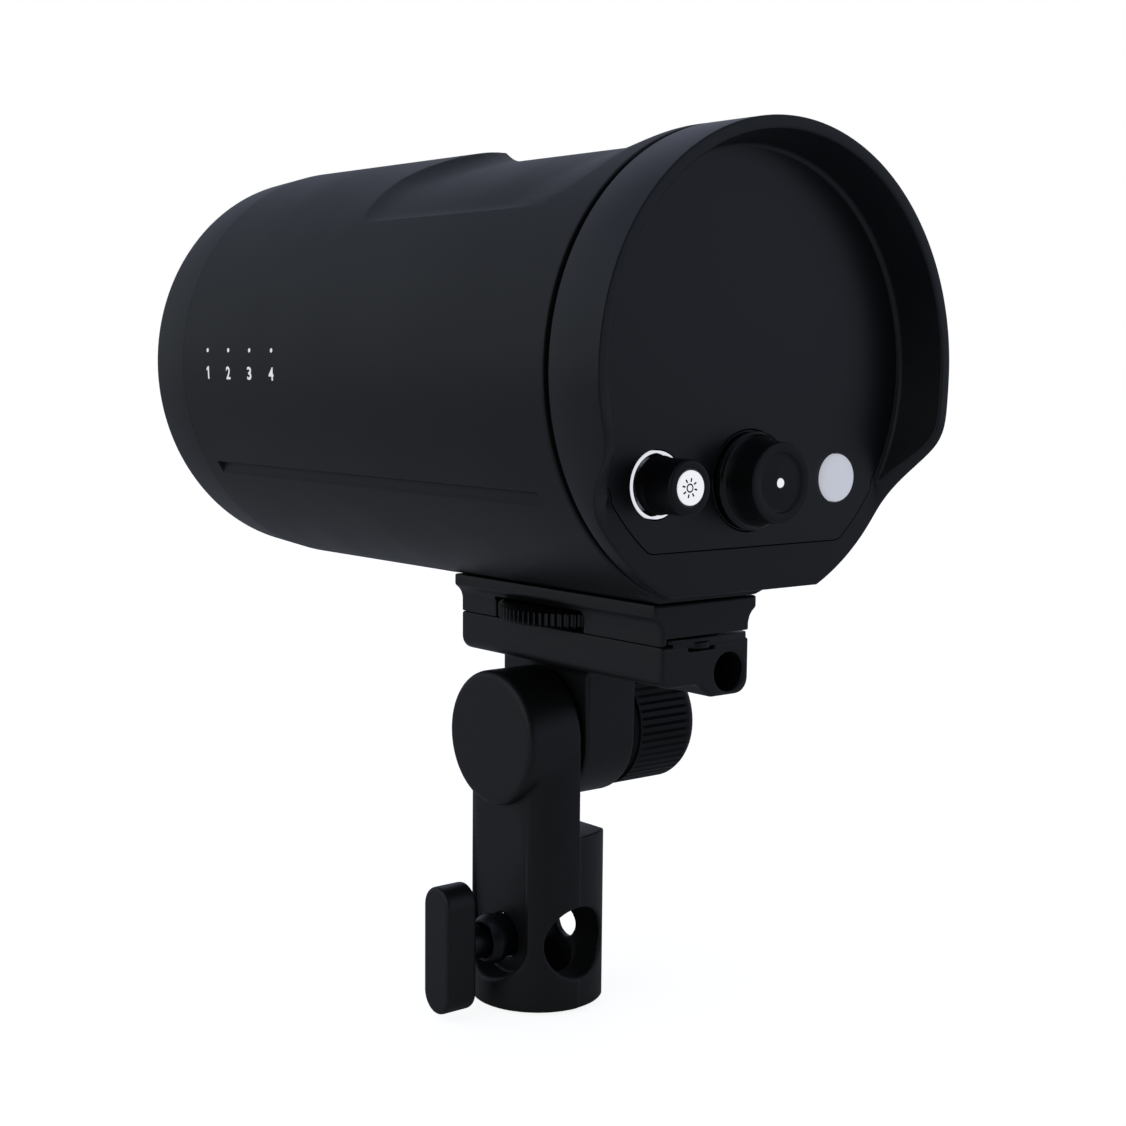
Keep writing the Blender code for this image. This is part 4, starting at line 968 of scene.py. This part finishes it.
# ============================ stand adapter ============================
# in the fields and outlines below, (x, z) unless said otherwise
PLATE_TOP = high("umbrella_plate", "Z")
BLOCK_TOP = high("adapter_block", "Z")
BLOCK_BOTTOM = min(low("adapter_block", "Z"), PLATE_TOP + 0.06)
block_half = [(15.0, BLOCK_TOP), (15.0, BLOCK_TOP - 2.6), (13.9, BLOCK_TOP - 3.5),
              (13.2, BLOCK_TOP - 4.4), (12.8, BLOCK_TOP - 5.8), (12.8, BLOCK_BOTTOM)]
block_radii = [0.4, 0.7, 2.0, 2.0, 2.0, 0.3]
block_outline = rounded(block_half + [(-x, z) for x, z in reversed(block_half)],
                        block_radii + block_radii[::-1], steps=4)


def block_field(points):
    y = points[..., 1]
    field = outline_field(points[..., 0], points[..., 2], block_outline)
    field = limit(field, ADAPTER_Y[0] - y, 0.9)
    field = limit(field, y - ADAPTER_Y[1], 0.9)
    # room for the thumbwheel, a bore through its centre and room for the spring
    wheel_room = cylinder(points, "Z", (0, WHEEL_Y), WHEEL_R + 1.0, BLOCK_BOTTOM - 2, 96.8, 0.3)
    field = cut(field, wheel_room, 0.35)
    field = cut(field, cylinder(points, "Z", (0, WHEEL_Y), 5.3), 0.3)
    return cut(field, block(points, (-13.3, 45.6, 88), (11.4, 60, 93.7)), 0.3)


piece("adapter_body", surface(block_field, (-16, ADAPTER_Y[0] - 1, BLOCK_BOTTOM - 1),
                              (16, ADAPTER_Y[1] + 1, BLOCK_TOP + 1), 0.42),
      "cast_black", "head", "adapter_block", sharp=55)

plate_outline = rounded([(-12.8, PLATE_TOP), (12.8, PLATE_TOP), (12.8, 83.0), (2.0, 83.0),
                         (-1.6, 80.0), (-12.8, 80.0)], [0.3, 0.3, 3.2, 2.6, 2.6, 3.4], steps=7)
LUG_X = (low("umbrella_plate", "X"), -1.3)
LUG_R = 16.0
SCREWS = [(6.5, -9.4), (6.5, 40.8)]    # (x, y)


def plate_field(points):
    x, y, z = points[..., 0], points[..., 1], points[..., 2]
    field = outline_field(x, z, plate_outline)
    field = limit(field, ADAPTER_Y[0] - y, 1.0)
    field = limit(field, y - ADAPTER_Y[1], 1.0)
    # lug that hangs down round the tilt axis
    lug = np.where(z > TILT_Z, np.abs(y) - LUG_R, np.hypot(y, z - TILT_Z) - LUG_R)
    lug = limit(lug, z - 86.0, 0.5)
    lug = limit(limit(lug, x - LUG_X[1], 1.1), LUG_X[0] - x, 1.1)
    field = join(field, lug, 1.6)
    # bore along Y, tilt bolt hole and notch for the spring
    field = cut(field, cylinder(points, "Y", (-6.9, 85.1), 4.2), 0.7)
    field = cut(field, cylinder(points, "X", (0, TILT_Z), 4.4), 0.4)
    field = cut(field, block(points, (-2.5, 50.2, 90.6), (5.1, 60, 96)), 0.4)
    for centre in SCREWS:    # counterbore and clearance hole
        field = cut(field, cylinder(points, "Z", centre, 3.5, 70, 86.4, 0.2), 0.4)
        field = cut(field, cylinder(points, "Z", centre, 1.9), 0.2)
    return field


piece("umbrella_bracket", surface(plate_field, (-17.5, -17.2, 46.5),
                                  (14, ADAPTER_Y[1] + 1, PLATE_TOP + 1), 0.42),
      "cast_black", "head", "umbrella_plate", sharp=55)

# leaf spring between block and bracket: outline (x, y), then the lip's (y, z)
leaf = rounded([(-12.9, 46.0), (10.9, 46.0), (10.9, 56.4), (6.2, 56.4), (5.6, 55.2),
                (-12.9, 55.6)], [0.5, 0.5, 1.2, 0.5, 0.3, 0.8], steps=4)
piece("spring_leaf", prism(leaf, "Z", 92.4, 93.3, 0.15, 2),
      "steel_spring", "head", "umbrella_spring", sharp=40)
lip = [(56.0, 93.3), (55.4, 93.3), (55.4, 92.6), (55.75, 92.2), (55.75, 91.3), (56.3, 91.3),
       (56.3, 92.9)]
piece("spring_lip", prism(lip, "X", -11.8, 9.6, 0.1, 2),
      "steel_spring", "head", sharp=40)
nose_profile = [(0, 91.1)] + rounded([(3.3, 91.1), (3.3, 92.45), (0, 92.45)],
                                     [0.5, 0.3, 0], closed=False)
piece("spring_nose", turned(nose_profile, "Z", (1.3, 54.0), 64),
      "steel_spring", "head", sharp=40)

# ============================ knurled thumbwheel ============================
TEETH, TOOTH_DEPTH = 75, 0.85


def tooth(angles, radius, along):
    if radius < WHEEL_R - 2:
        return np.full_like(angles, radius)
    phase = (angles * TEETH / (2 * pi)) % 1.0
    crest = ease(np.clip(1 - np.abs(phase - 0.5) / 0.28, 0, 1) * 1.5)
    return radius - TOOTH_DEPTH * (1 - crest)


wheel_profile = shifted(low("thumbwheel", "Z"), [
    (5.0, 0), (WHEEL_R - 1.4, 0), (WHEEL_R - 0.5, 0.12), (WHEEL_R, 0.6)])
wheel_profile += shifted(high("thumbwheel", "Z"), [
    (WHEEL_R, -0.6), (WHEEL_R - 0.5, -0.12), (WHEEL_R - 1.4, 0), (5.0, 0)])
piece("thumbwheel_knurled", turned(wheel_profile, "Z", (0, WHEEL_Y), TEETH * 10, shape=tooth),
      "steel_black", "thumbwheel", "thumbwheel", sharp=45)

# ============================ tilt lock knob ============================
# straight ribs, smooth collar and rounded outer end at -X
RIBS, RIB_DEPTH = 52, 0.5
TILT_OUT, TILT_IN = low("tilt_knob", "X"), high("tilt_knob", "X")
TILT_R = half_size("tilt_knob", "Z")


def rib(angles, radius, along):
    ramps = (along - (TILT_OUT + 4.5)) / 0.7, (TILT_IN - 1.2 - along) / 0.7
    amount = np.clip(min(ramps), 0, 1)
    if amount <= 0 or radius < TILT_R - 1.2:
        return np.full_like(angles, radius)
    phase = (angles * RIBS / (2 * pi)) % 1.0
    groove = ease(np.clip(1 - np.abs(phase - 0.5) / 0.22, 0, 1) * 1.3)
    return radius - RIB_DEPTH * groove * amount


tilt_profile = [(4.3, TILT_IN)] + rounded(
    shifted(TILT_IN, [(14.3, 0), (14.6, -1.0), (TILT_R, -1.25)]), [0.3, 0.2, 0], closed=False)
tilt_profile += [(TILT_R, x) for x in np.linspace(TILT_IN - 1.5, TILT_OUT + 4.6, 26)]
tilt_profile += shifted(TILT_OUT, [
    (TILT_R - 0.04, 4.2), (15.1, 3.75), (14.8, 3.1), (14.3, 2.4), (13.6, 1.75), (12.7, 1.15),
    (11.6, 0.65), (10.4, 0.3), (9.0, 0.08), (7.6, 0), (7.1, 0.06), (6.8, 0.3), (0, 0.35)])
tilt_profile += [(0, -32.4), (4.3, -32.4)]
piece("tilt_lock_knob", turned(tilt_profile, "X", (0, TILT_Z), RIBS * 10, shape=rib),
      "knob_black", "tilt_knob", "tilt_knob", sharp=50)

# ============================ stand arm ============================
ARM_R = half_size("stand_arm", "Y")
ARM_TOP_X = (0.2, 15.0)    # the narrow upper part, which carries the tilt axis


def recess_field(points):
    """Recess in the arm's +X side, with straight sides and an elliptical lower end."""
    y, z = points[..., 1], points[..., 2]
    half_width, end_depth, end_z = 9.9, 8.5, 15.4
    ratio = np.hypot(y / half_width, (z - end_z) / end_depth)
    size = np.where(ratio > 1e-6, np.hypot(y, z - end_z) / np.maximum(ratio, 1e-6), end_depth)
    field = np.where(z > end_z, np.abs(y) - half_width, (ratio - 1) * size)
    floor = 12.3 - 2.0 * np.clip((48.0 - z) / 32.0, -0.3, 1.5)
    return limit(field, floor - points[..., 0], 0.5)


def arm_field(points):
    x, y, z = points[..., 0], points[..., 1], points[..., 2]
    field = np.hypot(x, y) - (ARM_R - 0.22 * (1 - ease((x + 0.05) / 0.5)))
    field = limit(limit(field, -z, 1.2), z - TILT_Z + 2, 1.2)
    field = cut(field, recess_field(points), 1.6)
    head = cylinder(points, "X", (0, TILT_Z), 15.8, -3.0, ARM_TOP_X[1], 1.9)
    field = join(field, head, 0.8)
    field = cut(field, limit(x - ARM_TOP_X[0], 41.1 - z, 0.7), 0.5)
    field = limit(field, -(x + 10.1), 0.35)
    # bores: stand spigot from below, cross bore, clamp screw (-X, +X) and tilt bolt
    field = cut(field, cylinder(points, "Z", (0, 0), 8.1, None, 37.0), 0.9)
    field = cut(field, cylinder(points, "Y", (0, CROSS_Z), 8.35), 1.1)
    field = cut(field, limit(cylinder(points, "X", (0, CROSS_Z), 3.9), x + 2.0, 0.1), 0.35)
    field = cut(field, limit(cylinder(points, "X", (0, CROSS_Z), 5.3), -x, 0.1), 0.5)
    bolt = limit(cylinder(points, "X", (0, TILT_Z), 4.3), x - 9.0, 0.1)
    return cut(field, limit(bolt, -(x + 6), 0.1), 0.4)


arm = piece("stand_arm_cast", surface(arm_field, (-17, -17, -1), (17, 17, 81), 0.45),
            "arm_black", "stand", "stand_arm", sharp=55)
# painted shade: the inside of the bores gets a darker material than the outside, standing in
# for the shade in them
arm.data.materials.append(MATERIALS["bore_painted_shade"])
centres = np.array([polygon.center[:] for polygon in arm.data.polygons]) / MM - SHIFT
centre_x, centre_y, centre_z = centres.T
from_axis = np.hypot(centre_x, centre_y)
in_bore = (from_axis < ARM_R - 1.1) & (centre_z < 37.5) & (centre_z > 0.8) \
    & ((np.hypot(centre_x, centre_z - CROSS_Z) < 9.0) | (from_axis < 8.9))
arm.data.polygons.foreach_set("material_index", in_bore.astype(np.int32))

# ============================ clamp screw ============================
bush_profile = rounded([(4.2, 9.0), (5.0, 9.0), (5.0, 13.2), (5.85, 13.2), (5.85, 14.7),
                        (5.45, 15.6), (4.75, 16.85), (4.2, 16.85)],
                       [0, 0.2, 0, 0.25, 0.5, 0.8, 0.25, 0.15])
piece("clamp_bush", turned(bush_profile, "X", (0, CROSS_Z), 72),
      "bush_black", "stand", "clamp_screw_bush", sharp=45)

SCREW_X = (low("clamp_screw", "X"), high("clamp_screw", "X"))
THREAD_PITCH, CREST_R, ROOT_R = 1.25, 3.9, 3.35


def thread_profile():
    profile = [(0, SCREW_X[0]), (3.2, SCREW_X[0])]
    x = SCREW_X[0] + 0.4
    while x < SCREW_X[1] - 5.2:
        profile += [(CREST_R, x), (CREST_R, x + 0.25), (ROOT_R, x + 0.62), (ROOT_R, x + 0.88)]
        x += THREAD_PITCH
    return profile + [(CREST_R, SCREW_X[1] - 4.6), (CREST_R, SCREW_X[1]), (0, SCREW_X[1])]


piece("clamp_screw_thread", turned(thread_profile(), "X", (0, CROSS_Z), 64),
      "steel_black", "clamp_screw", "clamp_screw", sharp=40)

WING_X = (low("wing_handle", "X"), high("wing_handle", "X"))
WING_Z = middle("wing_handle", "Z")
WING_HALF_Z, WING_HALF_Y = half_size("wing_handle", "Z"), half_size("wing_handle", "Y")


def wing_field(points):
    beyond = np.abs(points[..., 2] - WING_Z) - (WING_HALF_Z - WING_HALF_Y)
    field = np.hypot(points[..., 1], np.maximum(beyond, 0)) - WING_HALF_Y
    field = limit(field, points[..., 0] - WING_X[1], 0.95)
    return limit(field, WING_X[0] - points[..., 0], 0.95)


piece("clamp_wing",
      surface(wing_field, (WING_X[0] - 1, -WING_HALF_Y - 1, WING_Z - WING_HALF_Z - 1),
              (WING_X[1] + 1, WING_HALF_Y + 1, WING_Z + WING_HALF_Z + 1), 0.4),
      "cast_black", "clamp_screw", "wing_handle", sharp=60)

# ============================ battery latch ============================
(latch_x0, latch_y0, latch_z0), (latch_x1, latch_y1, latch_z1) = BOXES["battery_latch"]
latch_outline = rounded([(latch_y0, latch_z0), (latch_y1, latch_z0), (latch_y1, latch_z1),
                         (latch_y0, latch_z1)], 1.6, steps=6)
piece("battery_latch_button", prism(latch_outline, "X", latch_x0 + 0.1, latch_x1, 0.5, 4),
      "soft_touch", "battery_latch", "battery_latch", sharp=40)

# ============================ printed scale ============================
# on the casing's +X side: (numeral, y of its dot, numeral's shift along y, width)
SCALE = [("1", -67.95, 0.15, 1.15), ("2", -57.85, 0, 1.95), ("3", -47.85, 0, 1.95),
         ("4", -37.8, 0, 2.15)]
NUMERAL_TOP, NUMERAL_HEIGHT = -0.45, 3.05    # top is measured from the head axis
DOT_Z, DOT_R = 3.42, 0.5
# the 1 is a plain stem with a slanted flag
ONE_POINTS = [(0.0, 0.0), (0.62, 0.0), (0.62, 3.6), (0.12, 3.6), (-0.55, 2.95), (-0.55, 2.35),
              (0.0, 2.72)]
ONE_FACES = [[0, 1, 2], [0, 2, 6], [6, 2, 3], [6, 3, 4], [6, 4, 5]]


def printed(name, points, faces):
    """Flat (y, z) print wrapped on the casing, standing just proud of it."""
    verts = []
    for lift in (0.035, -0.03):
        for y, z in points:
            turn = math.asin(z / BODY_R)
            radius = BODY_R + lift
            verts.append((radius * math.cos(turn), y, HEAD_Z + radius * math.sin(turn)))
    count = len(points)
    edges = [(face[i], face[(i + 1) % len(face)]) for face in faces for i in range(len(face))]
    known = set(edges)
    under = [[i + count for i in reversed(face)] for face in faces]
    rim = [[end, start, start + count, end + count] for start, end in edges
           if (end, start) not in known]
    piece(name, (verts, faces + under + rim), "print_white_painted_glow", "head")


def font_shape(text, name):
    """Points and triangles of a numeral from the built-in font."""
    curve = bpy.data.curves.new(name, "FONT")
    curve.body = text
    curve.resolution_u = 6
    curve.offset = 0.022    # makes the strokes heavier
    thing = bpy.data.objects.new(name, curve)
    bpy.context.scene.collection.objects.link(thing)
    bpy.context.view_layer.update()
    graph = bpy.context.evaluated_depsgraph_get()
    data = bpy.data.meshes.new_from_object(thing.evaluated_get(graph))
    bpy.data.objects.remove(thing, do_unlink=True)
    work = bmesh.new()
    work.from_mesh(data)
    bmesh.ops.triangulate(work, faces=work.faces)
    bmesh.ops.remove_doubles(work, verts=work.verts, dist=1e-5)
    points = [vert.co[:2] for vert in work.verts]
    faces = [[vert.index for vert in face.verts] for face in work.faces]
    work.free()
    bpy.data.meshes.remove(data)
    return points, faces


for text, dot_y, numeral_shift, width in SCALE:
    name = f"scale_numeral_{text}"
    points, faces = (ONE_POINTS, ONE_FACES) if text == "1" else font_shape(text, name)
    points = np.array(points)
    least, most = points.min(0), points.max(0)
    along = (points[:, 0] - (least[0] + most[0]) / 2) / (most[0] - least[0]) * width
    up = (points[:, 1] - least[1]) / (most[1] - least[1]) * NUMERAL_HEIGHT
    printed(name, list(zip(dot_y + numeral_shift + along, NUMERAL_TOP - NUMERAL_HEIGHT + up)),
            faces)
    dot = [(dot_y + DOT_R * math.cos(turn), DOT_Z + DOT_R * math.sin(turn))
           for turn in np.linspace(0, 2 * pi, 25)[:-1]]
    printed(f"scale_dot_{text}", dot, [list(range(len(dot)))])

# ============================ materials on the CAD nodes ============================
CAD_MATERIALS = {
    "seal_rubber": ["groove_seal", "glass_gasket"],
    "aluminium_bright": ["reflector", "led_heatsink", "main_encoder", "model_encoder"],
    "quartz_tube": ["flash_tube"],
    "ceramic": ["flash_tube_base"],
    "led_phosphor": ["led_module"],
    "frosted_glass": ["led_lens"],
    "grey_moulding": ["front_bulkhead", "fan_frame", "fan_rotor", "charger_transformer",
                      "battery_bay", "battery_base", "display_module", "test_switch",
                      "tilt_friction_disc"],
    "capacitor_sleeve": ["capacitor_left", "capacitor_right"],
    "cell_sleeve": ["battery_cell_1", "battery_cell_2", "battery_cell_3"],
    "circuit_board": ["power_board", "control_board"],
    "brass_turned": ["tripod_insert", "clamp_pad", "battery_contacts"],
    "steel_bright": ["tilt_bolt", "tilt_thrust_washer", "tripod_screw", "main_dial_shaft",
                     "main_dial_plunger", "model_dial_plunger"],
    "steel_black": ["adapter_screw_front", "adapter_screw_rear"],
    "pack_black": ["battery_case"],
    "hood_black": ["rear_housing"],
}
for material, nodes in CAD_MATERIALS.items():
    for node in nodes:
        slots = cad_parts[node].data.materials
        slots.clear()
        slots.append(MATERIALS[material])
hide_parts("battery_case")

# ============================ stage (metres) ============================
scene = bpy.context.scene


def add_floor():
    half = 6.0
    data = bpy.data.meshes.new("floor")
    data.from_pydata([(-half, -half, 0), (half, -half, 0), (half, half, 0), (-half, half, 0)],
                     [], [(0, 1, 2, 3)])
    floor = bpy.data.objects.new("floor", data)
    floor.location = (0, 0, -0.0006)
    scene.collection.objects.link(floor)
    tree, shader = new_material("floor_pale")
    set_inputs(shader, {"Base Color": (0.55, 0.55, 0.555, 1), "Roughness": 0.9,
                        "Specular IOR Level": 0.1})
    # glows white to the camera, dim to the strobe: seen * 0.84 + 0.056
    seen = add_node(tree, "LightPath").outputs["Is Camera Ray"]
    glow = add_node(tree, "Emission")
    both = add_node(tree, "AddShader", {0: shader.outputs["BSDF"],
                                        1: glow.outputs["Emission"]})
    strength = add_node(tree, "Math", {0: seen, 1: 0.84, 2: 0.056}, operation="MULTIPLY_ADD")
    tree.links.new(strength.outputs[0], glow.inputs["Strength"])
    tree.links.new(both.outputs[0], tree.nodes["Material Output"].inputs["Surface"])
    data.materials.append(MATERIALS["floor_pale"])


# soft boxes far away: where each lies, the cosine at which it fades out, its colour
LOBES = [((0.0, 0.0, 1.0), 0.55, (0.095, 0.112, 0.146)),
         ((-0.62, -0.77, 0.55), 0.60, (0.235, 0.255, 0.340)),
         ((-0.62, -0.77, 0.08), 0.60, (0.080, 0.085, 0.095)),
         ((0.62, -0.77, 0.15), 0.60, (0.285, 0.312, 0.350)),
         ((1.0, 0.10, 0.20), 0.60, (0.315, 0.330, 0.260)),
         ((-0.62, 0.77, 0.10), 0.60, (0.250, 0.284, 0.360)),
         ((-1.0, -0.10, 0.20), 0.60, (0.150, 0.155, 0.165)),
         ((0.60, -0.10, 0.80), 0.60, (0.185, 0.232, 0.350))]
FILL = (0.022, 0.023, 0.025)    # light from everywhere


def add_world():
    world = bpy.data.worlds.new("soft_box")
    scene.world = world
    world.use_nodes = True
    tree = world.node_tree
    way = add_node(tree, "TexCoord").outputs["Generated"]
    total = FILL
    for toward, fade, colour in LOBES:
        aim = add_node(tree, "VectorMath", {0: way, 1: Vector(toward).normalized()},
                       operation="DOT_PRODUCT")
        share = add_node(tree, "MapRange", {"Value": aim.outputs["Value"], "From Min": fade,
                                            "From Max": 1.0}, interpolation_type="SMOOTHSTEP")
        part = add_node(tree, "VectorMath", {0: colour, "Scale": share.outputs["Result"]},
                        operation="SCALE")
        total = add_node(tree, "VectorMath", {0: part.outputs["Vector"], 1: total},
                         operation="ADD").outputs["Vector"]
    # the camera itself sees plain white
    seen = add_node(tree, "LightPath").outputs["Is Camera Ray"]
    sky = add_node(tree, "Mix", {0: seen, 6: total, 7: (1, 1, 1, 1)}, data_type="RGBA")
    background = tree.nodes["Background"]
    tree.links.new(sky.outputs[2], background.inputs["Color"])
    background.inputs["Strength"].default_value = 1.0


def add_area(name, place, target, size, power, colour):
    light = bpy.data.lights.new(name, "AREA")
    light.shape = "RECTANGLE"
    light.size, light.size_y = size
    light.energy = power
    light.color = colour
    lamp = bpy.data.objects.new(name, light)
    lamp.location = place
    aim = Vector(target) - Vector(place)
    lamp.rotation_euler = aim.to_track_quat("-Z", "Y").to_euler()
    scene.collection.objects.link(lamp)


def add_camera(yaw, pitch, roll, place, lens):
    """Looks toward -X, -Y; place is measured from the stand axis along Y."""
    camera = bpy.data.objects.new("camera", bpy.data.cameras.new("camera"))
    scene.collection.objects.link(camera)
    forward = Vector((-math.sin(yaw) * math.cos(pitch), -math.cos(yaw) * math.cos(pitch),
                      -math.sin(pitch)))
    level = forward.cross(Vector((0, 0, 1))).normalized()
    upright = level.cross(forward)
    right = math.cos(roll) * level + math.sin(roll) * upright
    up = -math.sin(roll) * level + math.cos(roll) * upright
    matrix = Matrix((right, up, -forward)).transposed().to_4x4()
    matrix.translation = Vector((place[0], place[1] + SHIFT[1] * MM, place[2]))
    camera.matrix_world = matrix
    camera.data.sensor_width = 36.0
    camera.data.lens = lens
    camera.data.clip_start = 0.01
    camera.data.clip_end = 50
    scene.camera = camera


add_floor()
add_world()
add_area("top_box", place=(0.10, -0.10, 1.15), target=(0, 0, 0.12), size=(0.9, 0.9),
         power=0.25, colour=(0.90, 0.94, 1.0))
add_area("left_box", place=(1.3, 0.35, 0.45), target=(0, 0.05, 0.13), size=(0.12, 0.4),
         power=0.20, colour=(0.97, 0.98, 1.0))
add_camera(yaw=0.6881, pitch=0.1112, roll=0.0095, place=(0.266361, 0.332204, 0.151406),
           lens=58.312966)
scene.view_settings.view_transform = "Standard"
scene.view_settings.look = "None"
